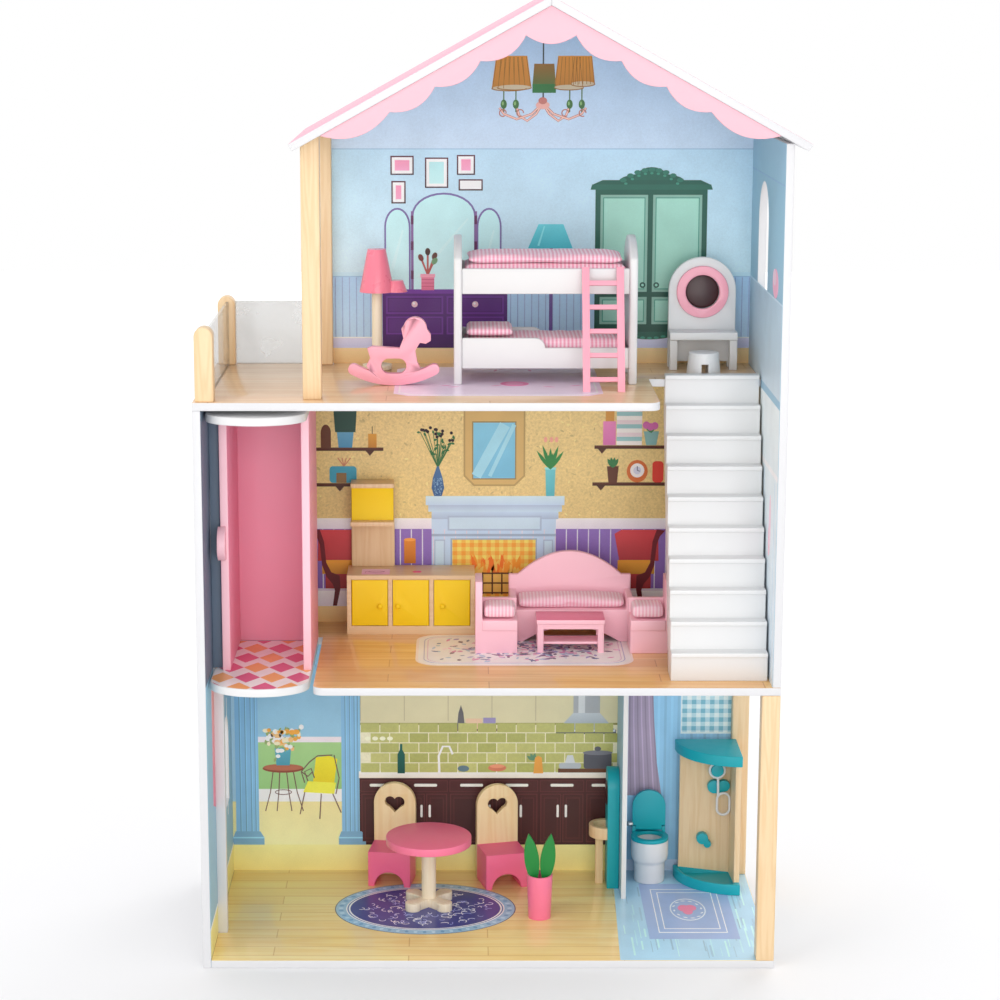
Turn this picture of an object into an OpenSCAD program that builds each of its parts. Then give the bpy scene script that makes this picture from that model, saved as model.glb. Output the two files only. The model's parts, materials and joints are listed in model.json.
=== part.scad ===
// Three-storey wooden dollhouse with a sliding lift, stairs and loose furniture.
// Origin: centre of the footprint on the ground. Front faces -Y, +X to the right, +Z up.

/* [House] */
// Width over the left wall and the right posts
house_w = 634; // [600:1:760]
// Depth from the front edges to the back
house_d = 300; // [280:1:380]
// Thickness of the walls and floors
board_t = 9; // [7:0.5:11]
// Clear height of the ground floor room and the living room
room_h = 304.5; // [300:0.5:370]
// Thickness of the printed back panels
back_t = 5; // [3:0.5:8]
// Radius of the rounded floor corners
corner_r = 12; // [4:1:20]
// Width of the square pine posts
post_w = 20; // [14:1:26]
// Gap that keeps neighbouring loose pieces apart
gap = 0.5; // [0.3:0.1:1]

/* [Attic and roof] */
// Width of the attic room, post to right wall
attic_w = 517; // [480:1:540]
// Ridge height above the attic floor
ridge_rise = 424; // [400:1:520]
// Slope of the roof in degrees
roof_pitch = 29; // [24:1:34]
// Ridge position from the right face of the right wall
ridge_inset = 255; // [240:1:270]
// Horizontal reach of each roof board from the ridge
roof_run = 273; // [266:1:300]
// Thickness of the roof boards
roof_t = 8.5; // [6:0.5:12]
// How far the roof stands in front of the walls
roof_lip = 8; // [6:1:20]
// Thickness of the scalloped valance
valance_t = 6; // [3:0.5:6]
// Depth of the valance at its cusps
valance_drop = 16; // [10:1:24]
// Width of one regular scallop
scallop_w = 47; // [40:1:50]
// Height of the balcony posts
balcony_post_h = 80; // [60:1:110]
// Height of the clear balcony screens
screen_h = 74; // [50:1:78]
// Thickness of the clear balcony screens
screen_t = 3; // [2:0.5:5]

/* [Windows] */
// Width of the arched attic window
attic_window_w = 90; // [60:1:110]
// Height of the arched attic window
attic_window_h = 165; // [120:1:185]
// Width of the two windows in the left wall
side_window_w = 60; // [40:1:80]
// Height of the two windows in the left wall
side_window_h = 110; // [70:1:130]

/* [Stairs] */
// Width of the staircase
stair_w = 106; // [80:1:112]
// Number of steps
stair_n = 10; // [8:1:12]
// Depth of one step, front to front
stair_going = 15.2; // [12:0.2:17]
// Thickness of the step boards
step_t = 5; // [4:0.5:6]
// Front of the first step behind the floor edge
stair_setback = 28; // [15:1:40]

/* [Lift] */
// Width of the opening in the living room floor for the lift
bay_w = 116; // [112:1:130]
// Depth of the opening in the living room floor for the lift
bay_d = 221; // [221:1:240]
// Width of the lift floor
lift_w = 109; // [100:1:109]
// Depth of the lift floor with its rounded front
lift_d = 222; // [180:1:222]
// Depth of the rounded front alone
lift_nose = 40; // [30:1:60]
// How far the rounded front stands before the house
lift_proud = 7; // [0:1:12]
// Thickness of the lift walls
lift_wall_t = 9; // [6:0.5:10]
// Thickness of the guide rail across the wall
rail_w = 11; // [8:0.5:11.5]
// Thickness of the guide rail front to back
rail_d = 12; // [8:1:16]
// Running clearance between the rail and the lift
rail_play = 0.6; // [0.4:0.1:1.5]

/* [Bunk bed] */
// Length of the bunk bed
bunk_l = 203; // [160:1:230]
// Depth of the bunk bed
bunk_d = 105; // [80:1:120]
// Height of the bunk bed ends
bunk_h = 162; // [140:1:190]
// Thickness of the bunk bed ends
bunk_end_t = 9; // [6:0.5:12]
// Thickness of the guard boards and decks
bunk_board_t = 6; // [4:0.5:8]
// Thickness of the mattresses
mattress_t = 24; // [14:1:28]
// Width of the ladder
ladder_w = 46; // [36:1:60]
// Thickness of the ladder sides and rungs
ladder_t = 6; // [4:0.5:8]

/* [Attic furniture] */
// Height of the floor lamp
lamp_h = 139; // [110:1:170]
// Radius of the floor lamp's pole
lamp_pole_r = 6; // [4:0.5:8]
// Thickness of the rocking horse
horse_t = 12; // [8:1:16]
// Radius of the rocking horse's runner
rocker_r = 98; // [80:1:110]
// Width of the vanity
vanity_w = 78; // [60:1:90]
// Height of the vanity board
vanity_h = 128; // [110:1:150]
// Height of the vanity's ledge
vanity_ledge_h = 44; // [36:1:55]
// Height of the stool
stool_h = 26; // [20:1:32]

/* [Living room furniture] */
// Width of the sideboard
sideboard_w = 150; // [120:1:150]
// Height of the sideboard
sideboard_h = 71; // [60:1:80]
// Depth of the sideboard
sideboard_d = 56; // [40:1:56]
// Thickness of the sideboard's boards
sideboard_t = 5; // [4:0.5:6]
// Height of the hutch above the sideboard
hutch_h = 104; // [80:1:110]
// Width of the hutch
hutch_w = 51; // [40:1:60]
// Radius of the hinge pins of the doors
hinge_pin_r = 0.8; // [0.6:0.1:1]
// Radial clearance of the hinge pins
hinge_play = 0.08; // [0.05:0.01:0.1]
// Width of the sofa
sofa_w = 144; // [124:1:146]
// Height of the sofa's arched back
sofa_h = 97; // [86:1:116]
// Height of the sofa's seat
sofa_seat_h = 38; // [30:1:44]
// Width of each armchair
armchair_w = 48; // [38:1:48]
// Depth of each armchair
armchair_d = 46; // [38:1:50]
// Height of each armchair's back
armchair_h = 84; // [70:1:96]
// Width of the coffee table
coffee_w = 76; // [60:1:80]
// Depth of the coffee table
coffee_d = 40; // [34:1:42]
// Height of the coffee table
coffee_h = 39; // [32:1:44]

/* [Dining and bath furniture] */
// Radius of the round table top
table_r = 50; // [40:1:52]
// Thickness of the round table top
table_t = 9; // [6:0.5:12]
// Height of the round table
table_h = 85; // [70:1:95]
// Width of each chair back
chair_w = 51; // [44:1:52]
// Height of each chair back
chair_h = 116; // [104:1:140]
// Height of each chair seat
chair_seat_h = 43; // [38:1:54]
// Depth of each chair seat
chair_d = 44; // [36:1:46]
// Width of the heart in a chair back
heart_w = 24; // [16:1:26]
// Radius of the plant pot
pot_r = 15; // [12:0.5:18]
// Height of the plant pot
pot_h = 52; // [44:1:60]
// Height of the wash stand's board
wash_h = 145; // [120:1:150]
// Thickness of the wash stand's board
wash_t = 14; // [8:0.5:15]
// Height of the toilet's rim
toilet_h = 52; // [46:1:60]
// Width of the toilet
toilet_w = 45; // [38:1:46]
// Height of the toilet's lid
toilet_lid_h = 48; // [40:1:54]
// Width of the shower cubicle
shower_w = 74; // [66:1:78]
// Height of the shower cubicle
shower_h = 172; // [150:1:190]
// Thickness of the shower's tray and canopy
shower_slab_t = 13; // [8:1:16]
// Diameter of the shower hose
hose_dia = 3; // [2.5:0.5:4]

/* [Hidden] */
$fn = 64;
front_y = -house_d / 2;
back_y = house_d / 2;
left_x = -house_w / 2;
right_x = house_w / 2;
left_in = left_x + board_t;
right_in = right_x - board_t;
ground_z = board_t;
living_z = ground_z + room_h + board_t;
attic_z = living_z + room_h + board_t;
ridge_x = right_x - ridge_inset;
ridge_z = attic_z + ridge_rise;
attic_x = right_x - attic_w;
panel_y = back_y - back_t;
bay_x = left_in + bay_w;
stair_x = right_in - 2.5 - stair_w;
well_x = stair_x - 18;
landing_y = front_y + stair_setback + (stair_n - 1) * stair_going + step_t;
riser = (attic_z - living_z + step_t) / stair_n;
step_lip = 2;
roof_fit = 0.05;
stringer_end = 30;
stringer_foot = 38;

// Height of the roof's underside above a place across the house
function roof_under(x) = ridge_z - roof_t / cos(roof_pitch) - abs(x - ridge_x) * tan(roof_pitch);
// Height that a board under the roof reaches, a hair below it
function under_roof(x) = roof_under(x) - roof_fit;
// A half ellipse from one side to the other, bulging towards -Y
function nose(w, d, n = 24) = [for (i = [0:n]) [-w / 2 * cos(180 * i / n), -d * sin(180 * i / n)]];
// An arc as a parabola from p to q, sagging by a share of its length
function sag(p, q, share, n = 10) = [for (i = [0:n - 1])
    let (t = i / n, l = norm(q - p), s = [q[1] - p[1], p[0] - q[0]] / l)
    p + (q - p) * t + s * 4 * share * l * t * (1 - t)];

// Lift
lift_x = left_in + 2 + lift_w / 2;
lift_gap = 6.5;
lift_front = front_y - lift_proud;
lift_top = attic_z - board_t - lift_gap;
rail_x = left_in;
rail_y = front_y + 84;
lift_wall_front = front_y + 73;
lift_wall_back = lift_front + lift_d - lift_wall_t;
lift_wall_left = rail_x + rail_w + 1;
lift_wall_right = lift_x + lift_w / 2;

// Furniture places
bunk_x = attic_x + 161.5;
bunk_y = front_y + 124;
rail_high = 101;
rail_low = 18;
guard_h = 28;
lamp_at = [attic_x + 73, back_y - 54];
horse_at = [attic_x + 95, front_y + 126];
floor_gap = 0.3;
vanity_at = [right_in - 59, back_y - 64];
stool_at = [right_in - 62, back_y - 98];
side_at = [bay_x + 28, back_y - 10 - sideboard_d];
door_gap = 0.6;
door_t = 4;
door_w = (sideboard_w - 2 * sideboard_t - 2 * sideboard_t) / 3;
door_h = sideboard_h - 2 * sideboard_t - 5;
door_z = living_z + sideboard_t + 5;
sofa_x = stair_x - 101.5;
sofa_y = front_y + 196;
seat_d = 62;
armchair_left_x = sofa_x - 64 - armchair_w;
armchair_right_x = sofa_x + 65;
armchair_y = front_y + 146;
coffee_at = [sofa_x - 3, front_y + 148];
partition_x = right_in - 148.5;
table_at = [partition_x - 227.5, front_y + 176];
chair_y = front_y + 236;
chair_left_x = table_at[0] - 48.5;
chair_right_x = table_at[0] + 93;
pot_at = [partition_x - 98.5, front_y + 136];
partition_t = 6;
partition_y = front_y + 194;
wash_at = [partition_x - gap, front_y + 230];
toilet_at = [partition_x + 38.5, back_y - 38];
shower_at = [right_in - 6, back_y - post_w - gap];

// A board between two corners
module board(a, b) {
    translate(a) cube(b - a);
}

// A flat shape drawn in X and Z, standing between two depths
module standing(y0, y1) {
    translate([0, y1, 0]) rotate([90, 0, 0]) linear_extrude(y1 - y0) children();
}

// A flat shape drawn in Y and Z, standing between two places across
module upright(x0, x1) {
    translate([x0, 0, 0]) rotate([90, 0, 90]) linear_extrude(x1 - x0) children();
}

// A board with a round arched top, drawn in a plane and centred on its base
module arched_plan(w, h) {
    translate([-w / 2, 0]) square([w, h - w / 2]);
    translate([0, h - w / 2]) circle(w / 2);
}

// A rectangle with one rounded corner at its low end, on the left or on the right
module corner_plan(x0, x1, y0, y1, round_x) {
    side = round_x == x0 ? 1 : -1;
    difference() {
        translate([x0, y0]) square([x1 - x0, y1 - y0]);
        translate([round_x, y0]) square(2 * corner_r, center = true);
    }
    intersection() {
        translate([x0, y0]) square([x1 - x0, y1 - y0]);
        translate([round_x + side * corner_r, y0 + corner_r]) circle(corner_r);
    }
}

// ---- House ----

module base_board() color("navajowhite")
    board([left_in, front_y, 0], [right_x, back_y, board_t]);

module left_wall() color("white") difference() {
    board([left_x, front_y, 0], [left_in, back_y, attic_z - board_t]);
    upright(left_x - 1, left_in + 1) {
        translate([front_y + 115, living_z + 118]) arched_plan(side_window_w, side_window_h);
        translate([front_y + 226, ground_z + 105]) arched_plan(side_window_w, side_window_h);
    }
}

module right_wall() color("white") difference() {
    upright(right_in, right_x) translate([front_y, living_z])
        square([house_d, roof_under(right_x) - living_z]);
    upright(right_in - 1, right_x + 1) translate([front_y + 180, attic_z + 56])
        arched_plan(attic_window_w, attic_window_h);
    roof_space();
}

// Everything above the roof's underside
module roof_space() {
    top = ridge_z + 50;
    standing(front_y - 50, back_y + 50) polygon([
        [ridge_x, roof_under(ridge_x)], [ridge_x + 400, roof_under(ridge_x + 400)],
        [ridge_x + 400, top], [ridge_x - 400, top], [ridge_x - 400, roof_under(ridge_x - 400)]]);
}

module middle_floor() color("burlywood") translate([0, 0, living_z - board_t])
    linear_extrude(board_t) {
        corner_plan(bay_x, right_x, front_y, back_y, bay_x);
        translate([left_in, front_y + bay_d]) square([bay_x - left_in + 1, house_d - bay_d]);
    }

module attic_floor() color("burlywood") translate([0, 0, attic_z - board_t])
    linear_extrude(board_t) {
        corner_plan(left_x, well_x, front_y, back_y, well_x);
        translate([well_x - 1, landing_y])
            square([right_in - well_x + 1, back_y - landing_y]);
    }

module kitchen_back_panel() color("khaki")
    board([left_in, panel_y, ground_z], [right_x - post_w, back_y, living_z - board_t]);

module living_back_panel() color("goldenrod")
    board([left_in, panel_y, living_z], [right_in, back_y, attic_z - board_t]);

module attic_back_panel() color("lightblue")
    standing(panel_y, back_y) polygon([
        [attic_x + post_w, attic_z], [right_in, attic_z], [right_in, under_roof(right_in)],
        [ridge_x, under_roof(ridge_x)], [attic_x + post_w, under_roof(attic_x + post_w)]]);

// One roof board, from the ridge's mitre down to the eave
module roof_board(side) {
    run = side * roof_run;
    tip = [ridge_x + run, ridge_z - roof_run * tan(roof_pitch)];
    under = [-side * roof_t * sin(roof_pitch), -roof_t * cos(roof_pitch)];
    standing(front_y - roof_lip, back_y) polygon([
        [ridge_x, ridge_z], tip, tip + under, [ridge_x, roof_under(ridge_x)]]);
}

module roof_left() color("white") roof_board(-1);

module roof_right() color("white") roof_board(1);

// Cusps of the valance on one side, from the ridge outwards
function cusp(side, u, drop) = [ridge_x + side * u, under_roof(ridge_x + u) - drop];
function cusps(side) = [for (i = [0:3]) cusp(side, (i + 0.55) * scallop_w, valance_drop)];
function eave_end(side) = cusp(side, roof_run - 33, 0);

module gable_valance() color("pink") {
    left = [eave_end(-1), for (i = [3:-1:0]) cusps(-1)[i]];
    right = [for (i = [0:3]) cusps(1)[i], eave_end(1)];
    row = concat(left, right);
    edge = [for (i = [0:len(row) - 2]) each sag(row[i], row[i + 1], 0.17)];
    standing(front_y - valance_t, front_y) polygon(concat(edge,
        [eave_end(1), [ridge_x, under_roof(ridge_x)]]));
}

// A square post between two depths, cut to the roof where it reaches it
module post(x, y, z0, z1) {
    board([x, y, z0], [x + post_w, y + post_w, z1]);
}

module ground_posts() color("burlywood")
    for (y = [front_y, back_y - post_w])
        post(right_x - post_w, y, ground_z, living_z - board_t);

module attic_posts() color("burlywood") difference() {
    for (y = [front_y + post_w, back_y - post_w])
        post(attic_x, y, attic_z, roof_under(attic_x + post_w));
    roof_space();
}

module balcony_posts() color("burlywood")
    for (y = [front_y + 3, back_y - post_w])
        standing(y, y + post_w) translate([left_x + 3 + post_w / 2, attic_z])
            arched_plan(post_w, balcony_post_h);

module balcony_screens() color("lightgray", 0.5) {
    x = left_x + 3 + post_w / 2;
    board([x, front_y + 3 + post_w, attic_z], [x + screen_t, back_y - post_w, attic_z + screen_h]);
    board([left_x + 3 + post_w, back_y - post_w / 2, attic_z],
        [attic_x, back_y - post_w / 2 + screen_t, attic_z + screen_h]);
}

module bath_partition() color("white")
    board([partition_x, partition_y, ground_z],
        [partition_x + partition_t, panel_y, living_z - board_t]);

// ---- Stairs ----

// Saw-tooth board that carries the steps, drawn in Y and Z, ending under the attic floor
module stringer_plan() {
    last = stair_n - 1;
    teeth = [for (i = [0:last - 1]) each [
        [i * stair_going + step_t, max(i * riser - step_t, 0)],
        [i * stair_going + step_t, (i + 1) * riser - step_t]]];
    run = stair_n * stair_going;
    polygon(concat(teeth, [
        [last * stair_going + step_t, last * riser - step_t],
        [last * stair_going + step_t, room_h],
        [run, room_h],
        [run, room_h - stringer_end],
        [stringer_foot, 0]]));
}

module stair_stringers() color("white")
    for (x = [stair_x, stair_x + stair_w - step_t])
        upright(x, x + step_t) translate([front_y + stair_setback, living_z]) stringer_plan();

module stair_steps() color("white")
    for (i = [0:stair_n - 1]) {
        y = front_y + stair_setback + i * stair_going;
        z = living_z + i * riser;
        board([stair_x, y, z], [stair_x + stair_w, y + step_t, z + riser - step_t]);
        board([stair_x, y - step_lip, z + riser - step_t],
            [stair_x + stair_w, y + stair_going + (i < stair_n - 1 ? step_t : 0), z + riser]);
    }

// ---- Lift ----

module lift_rail() color("white")
    board([rail_x, rail_y, ground_z], [rail_x + rail_w, rail_y + rail_d, attic_z - board_t]);

// Plan of the lift's floor and roof, notched for the guide rail
module lift_plan() {
    difference() {
        translate([lift_x, lift_front + lift_nose]) union() {
            translate([-lift_w / 2, 0]) square([lift_w, lift_d - lift_nose]);
            polygon(nose(lift_w, lift_nose));
        }
        translate([rail_x - 1, rail_y - rail_play])
            square([rail_w + rail_play + 1, rail_d + 2 * rail_play]);
    }
}

module lift_floor() color("white") translate([0, 0, living_z - board_t])
    linear_extrude(board_t) lift_plan();

module lift_roof() color("white") translate([0, 0, lift_top - board_t])
    linear_extrude(board_t) lift_plan();

module lift_side_walls() color("hotpink")
    for (x = [lift_wall_left, lift_wall_right - lift_wall_t])
        board([x, lift_wall_front, living_z], [x + lift_wall_t, lift_wall_back, lift_top - board_t]);

module lift_back_wall() color("hotpink")
    board([lift_wall_left, lift_wall_back, living_z],
        [lift_wall_right, lift_wall_back + lift_wall_t, lift_top - board_t]);

module lift_handle() color("hotpink") {
    r = 19;
    x = lift_wall_left - 2.5;
    upright(x, x + 9) translate([lift_wall_front, living_z + 145]) intersection() {
        circle(r);
        translate([-r, -r]) square([r, 2 * r]);
    }
}

// ---- Outside trim and fasteners ----

// A half-round roll on the outer wall: a planter under the upper window, an awning over the lower
module window_trims() color("pink")
    for (spot = [[front_y + 85, living_z + 43, 10], [front_y + 196, ground_z + 291, 13]])
        standing(spot[0], spot[0] + side_window_w) intersection() {
            translate([left_x + 3, spot[1]]) circle(spot[2]);
            translate([left_x - 50, spot[1] - 50]) square([50, 100]);
        }

// A flush screw head
module screw_head(at, axis) {
    translate(at) rotate(axis) cylinder(r = 3.4, h = 0.8);
}

module frame_screws() color("silver") {
    for (y = [front_y + 40, 0, back_y - 40], z = [ground_z + 30, living_z - board_t / 2])
        screw_head([left_x - 0.8, y, z], [0, 90, 0]);
    for (y = [front_y + 40, 0, back_y - 40])
        screw_head([right_x, y, attic_z - board_t / 2], [0, 90, 0]);
    for (y = [front_y + 40, 0, back_y - 40])
        screw_head([right_x, y, living_z + 20], [0, 90, 0]);
}

// ---- Bunk bed ----

bunk_right = bunk_x + bunk_l;
bunk_in = [bunk_x + bunk_end_t, bunk_right - bunk_end_t];

module bunk_ends() color("white")
    for (x = [bunk_x, bunk_right - bunk_end_t])
        upright(x, x + bunk_end_t) difference() {
            translate([bunk_y + bunk_d / 2, attic_z]) {
                translate([-bunk_d / 2, 0]) square([bunk_d, bunk_h - bunk_d / 2 + 22]);
                intersection() {
                    translate([0, bunk_h - 74]) circle(74);
                    translate([-bunk_d / 2, 0]) square([bunk_d, bunk_h]);
                }
            }
            translate([bunk_y + bunk_d / 2, attic_z]) square([bunk_d - 30, 26], center = true);
        }

// Guard board with an S-shaped step down to the right
module stepped_guard_plan(l, h, step) {
    difference() {
        square([l, h]);
        translate([l * 0.44, h - step]) square([l, step + 1]);
    }
    translate([l * 0.44, h - step]) intersection() {
        circle(step);
        square(step);
    }
}

module bunk_boards() color("white") {
    w = bunk_in[1] - bunk_in[0];
    for (y = [bunk_y + 3, bunk_y + bunk_d - bunk_board_t - 3]) {
        board([bunk_in[0], y, attic_z + rail_high],
            [bunk_in[1], y + bunk_board_t, attic_z + rail_high + guard_h]);
        standing(y, y + bunk_board_t) translate([bunk_in[0], attic_z + rail_low])
            stepped_guard_plan(w, guard_h + 6, 11);
    }
    for (z = [rail_low, rail_high])
        board([bunk_in[0], bunk_y + 3 + bunk_board_t, attic_z + z + 2],
            [bunk_in[1], bunk_y + bunk_d - bunk_board_t - 3, attic_z + z + 2 + bunk_board_t]);
}

module mattress(z) {
    y0 = bunk_y + 3 + bunk_board_t + gap;
    y1 = bunk_y + bunk_d - bunk_board_t - 3 - gap;
    board([bunk_in[0] + gap, y0, z], [bunk_in[1] - gap, y1, z + mattress_t]);
}

// A pillow or a quilt lying on a mattress, from the left end to a place across the bed
module cover(z, right_end) {
    y0 = bunk_y + 3 + bunk_board_t + 6;
    y1 = bunk_y + bunk_d - bunk_board_t - 3 - 6;
    board([bunk_in[0] + 3, y0, z + mattress_t + gap], [right_end, y1, z + mattress_t + 10]);
}

module bunk_mattress_upper() color("lightpink") {
    mattress(attic_z + rail_high + 2 + bunk_board_t);
    cover(attic_z + rail_high + 2 + bunk_board_t, bunk_in[1] - 3);
}

module bunk_mattress_lower() color("lightpink") {
    mattress(attic_z + rail_low + 2 + bunk_board_t);
    cover(attic_z + rail_low + 2 + bunk_board_t, bunk_in[0] + 58);
}

ladder_lean = 20;
ladder_l = 140;
ladder_x = bunk_in[0] + 132;
ladder_top_z = rail_high + guard_h;

module bunk_ladder() color("pink") {
    // The ladder leans back until it rests on the upper guard board
    top_y = bunk_y + 3 - gap;
    foot_y = top_y - ladder_top_z * tan(ladder_lean) - ladder_t / cos(ladder_lean);
    intersection() {
        translate([ladder_x, foot_y, attic_z]) rotate([-ladder_lean, 0, 0])
            translate([0, 0, -10]) {
                for (x = [0, ladder_w - 8]) cube_at([x, 0, 0], [8, ladder_t, ladder_l + 10]);
                for (i = [0:4]) cube_at([8, 1, 22 + i * 27], [ladder_w - 16, ladder_t - 2, 5]);
            }
        board([bunk_x, front_y - 50, attic_z], [bunk_right, back_y, attic_z + bunk_h]);
    }
}

module cube_at(at, size) {
    translate(at) cube(size);
}

// ---- Attic furniture ----

module lamp_shade() color("hotpink") translate([lamp_at[0], lamp_at[1], attic_z + lamp_h - 49]) {
    difference() {
        union() {
            cylinder(r1 = 20, r2 = 10.5, h = 49);
            translate([22, 0, 0]) cylinder(r1 = 13, r2 = 8, h = 13);
        }
        translate([0, 0, -1]) cylinder(r1 = 17.5, r2 = 8.5, h = 46);
    }
}

module lamp_stand() color("cornsilk") translate([lamp_at[0], lamp_at[1], attic_z]) {
    cylinder(r = 17, h = 6);
    cylinder(r = lamp_pole_r, h = lamp_h - 4);
}

// Silhouette of the horse on its runner, drawn about the runner's lowest point
module horse_plan() {
    polygon(concat(
        [for (i = [0:24]) on_rocker(0, rocker_end * (i / 12 - 1))],
        [for (i = [1:7]) rocker_tip(1, i * 22.5)],
        [for (i = [0:24]) on_rocker(rocker_t, rocker_end * (1 - i / 12))],
        [for (i = [1:7]) rocker_tip(-1, 180 - i * 22.5)]));
    difference() {
        union() {
            polygon(horse_size * [[-27, 38], [-22, 40], [6, 38], [10, 48], [8, 58], [14, 66],
                [22, 69], [30, 66], [34, 58], [38, 52], [38, 46], [33, 43], [27, 44], [22, 36],
                [24, 24], [30, 12], [18, 9], [-20, 9], [-28, 20], [-24, 28]]);
            translate(horse_size * [22, 58]) circle(12 * horse_size);
        }
        translate([0, 13]) scale_free_oval(14, 8.5);
    }
}

rocker_t = 12;
rocker_end = 29;
horse_size = 1.08;

// A point of the runner, so far in from its outer curve and turned so far from its middle
function on_rocker(inward, turn) =
    [(rocker_r - inward) * sin(turn), rocker_r - (rocker_r - inward) * cos(turn)];

// A point of the runner's round tip, swept from its outer curve to its inner curve
function rocker_tip(side, sweep) = let (turn = side * rocker_end)
    on_rocker(rocker_t / 2, turn) + rocker_t / 2 * (cos(sweep) * [sin(turn), -cos(turn)]
        + side * sin(sweep) * [cos(turn), sin(turn)]);

// Half oval hole made of two circles and the space between
module scale_free_oval(half, r) {
    for (x = [-half + r, half - r]) translate([x, r]) circle(r);
    translate([-half + r, 0]) square([2 * (half - r), 2 * r]);
}

module rocking_horse() color("pink") translate([horse_at[0], horse_at[1], attic_z + floor_gap])
    translate([0, horse_t / 2, 0]) rotate([90, 0, 0]) linear_extrude(horse_t) horse_plan();

mirror_r = 19.5;

module vanity_table() color("white") translate([vanity_at[0], vanity_at[1], attic_z]) {
    leg = 9;
    deep = 34;
    standing(deep - 8, deep) difference() {
        arched_plan(vanity_w, vanity_h);
        translate([0, 88]) circle(mirror_r);
        translate([-(vanity_w - 2 * leg) / 2, -1]) square([vanity_w - 2 * leg, 8]);
    }
    board([-vanity_w / 2, -2, vanity_ledge_h - 9], [vanity_w / 2, deep - 8, vanity_ledge_h]);
    for (x = [-vanity_w / 2, vanity_w / 2 - leg])
        board([x, 0, 0], [x + leg, leg, vanity_ledge_h - 9]);
}

module vanity_mirror_ring() color("pink")
    translate([vanity_at[0], vanity_at[1] + 34 - 8, attic_z + 88]) rotate([90, 0, 0])
        difference() {
            cylinder(r = mirror_r + 10.5, h = 4);
            translate([0, 0, -1]) cylinder(r = mirror_r, h = 6);
        }

module vanity_stool() color("white") translate([stool_at[0], stool_at[1], attic_z])
    difference() {
        cylinder(r1 = 19.5, r2 = 17, h = stool_h);
        translate([-4, -30, -1]) cube([8, 60, 15]);
    }

// ---- Sideboard and hutch ----

side_x1 = side_at[0] + sideboard_w;
side_y1 = side_at[1] + sideboard_d;

module sideboard_case() color("burlywood") {
    t = sideboard_t;
    difference() {
        board([side_at[0], side_at[1], living_z], [side_x1, side_y1, living_z + sideboard_h]);
        for (i = [0:2])
            board([door_x(i), side_at[1] - 1, door_z], [door_x(i) + door_w, side_y1 - t, door_z + door_h]);
    }
    for (i = [0:2], z = [door_z, door_z + door_h - 2.5])
        translate([hinge_x(i), hinge_y, z]) cylinder(r = hinge_pin_r, h = 2.5);
}

function door_x(i) = side_at[0] + sideboard_t + i * (door_w + sideboard_t);
hinge_inset = 2.4;
hinge_y = side_at[1] + hinge_inset;
function hinge_x(i) = i == 0 ? door_x(i) + hinge_inset : door_x(i) + door_w - hinge_inset;

// A door that fills its opening, with a rounded hinge edge, pin sockets and a turned knob
module sideboard_door(i) {
    left_hung = i == 0;
    x0 = door_x(i) + door_gap;
    x1 = door_x(i) + door_w - door_gap;
    y0 = side_at[1] + hinge_inset - door_t / 2;
    r = door_t / 2;
    knob_x = i == 0 ? x1 - 9 : (i == 1 ? x0 + 6 : x0 + 10);
    hx = hinge_x(i);
    difference() {
        union() {
            if (left_hung) board([hx, y0, door_z + door_gap], [x1, y0 + door_t, door_z + door_h - door_gap]);
            if (!left_hung) board([x0, y0, door_z + door_gap], [hx, y0 + door_t, door_z + door_h - door_gap]);
            translate([hx, hinge_y, door_z + door_gap]) cylinder(r = r, h = door_h - 2 * door_gap);
        }
        for (z = [door_z, door_z + door_h - 3.1])
            translate([hx, hinge_y, z]) cylinder(r = hinge_pin_r + hinge_play, h = 3.1);
    }
    translate([knob_x, y0, door_z + door_h * 0.44]) rotate([90, 0, 0]) {
        cylinder(r = 2.2, h = 2.5);
        translate([0, 0, 2.5]) cylinder(r1 = 2.2, r2 = 3.2, h = 1.5);
        translate([0, 0, 4]) cylinder(r1 = 3.2, r2 = 2, h = 1.5);
    }
}

module sideboard_door_left() color("gold") sideboard_door(0);

module sideboard_door_middle() color("gold") sideboard_door(1);

module sideboard_door_right() color("gold") sideboard_door(2);

hutch_x = side_at[0] + 4;
hutch_z = living_z + sideboard_h;
hutch_shelf = 55;
hutch_t = 6;
hutch_d = 38;

// A pine back board with two shelves and a yellow cupboard block between them
module hutch() {
    color("burlywood") {
        board([hutch_x, side_y1 - hutch_t, hutch_z],
            [hutch_x + hutch_w, side_y1, hutch_z + hutch_h]);
        board([hutch_x, side_y1 - hutch_d, hutch_z + hutch_shelf],
            [hutch_x + hutch_w, side_y1 - hutch_t, hutch_z + hutch_shelf + sideboard_t]);
        board([hutch_x, side_y1 - hutch_d + 9, hutch_z + hutch_h - sideboard_t],
            [hutch_x + hutch_w, side_y1 - hutch_t, hutch_z + hutch_h]);
    }
    color("gold")
        board([hutch_x + 1, side_y1 - hutch_d + 12, hutch_z + hutch_shelf + sideboard_t],
            [hutch_x + hutch_w - 1, side_y1 - hutch_t, hutch_z + hutch_h - sideboard_t]);
}

// ---- Sofa, armchairs and coffee table ----

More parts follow.
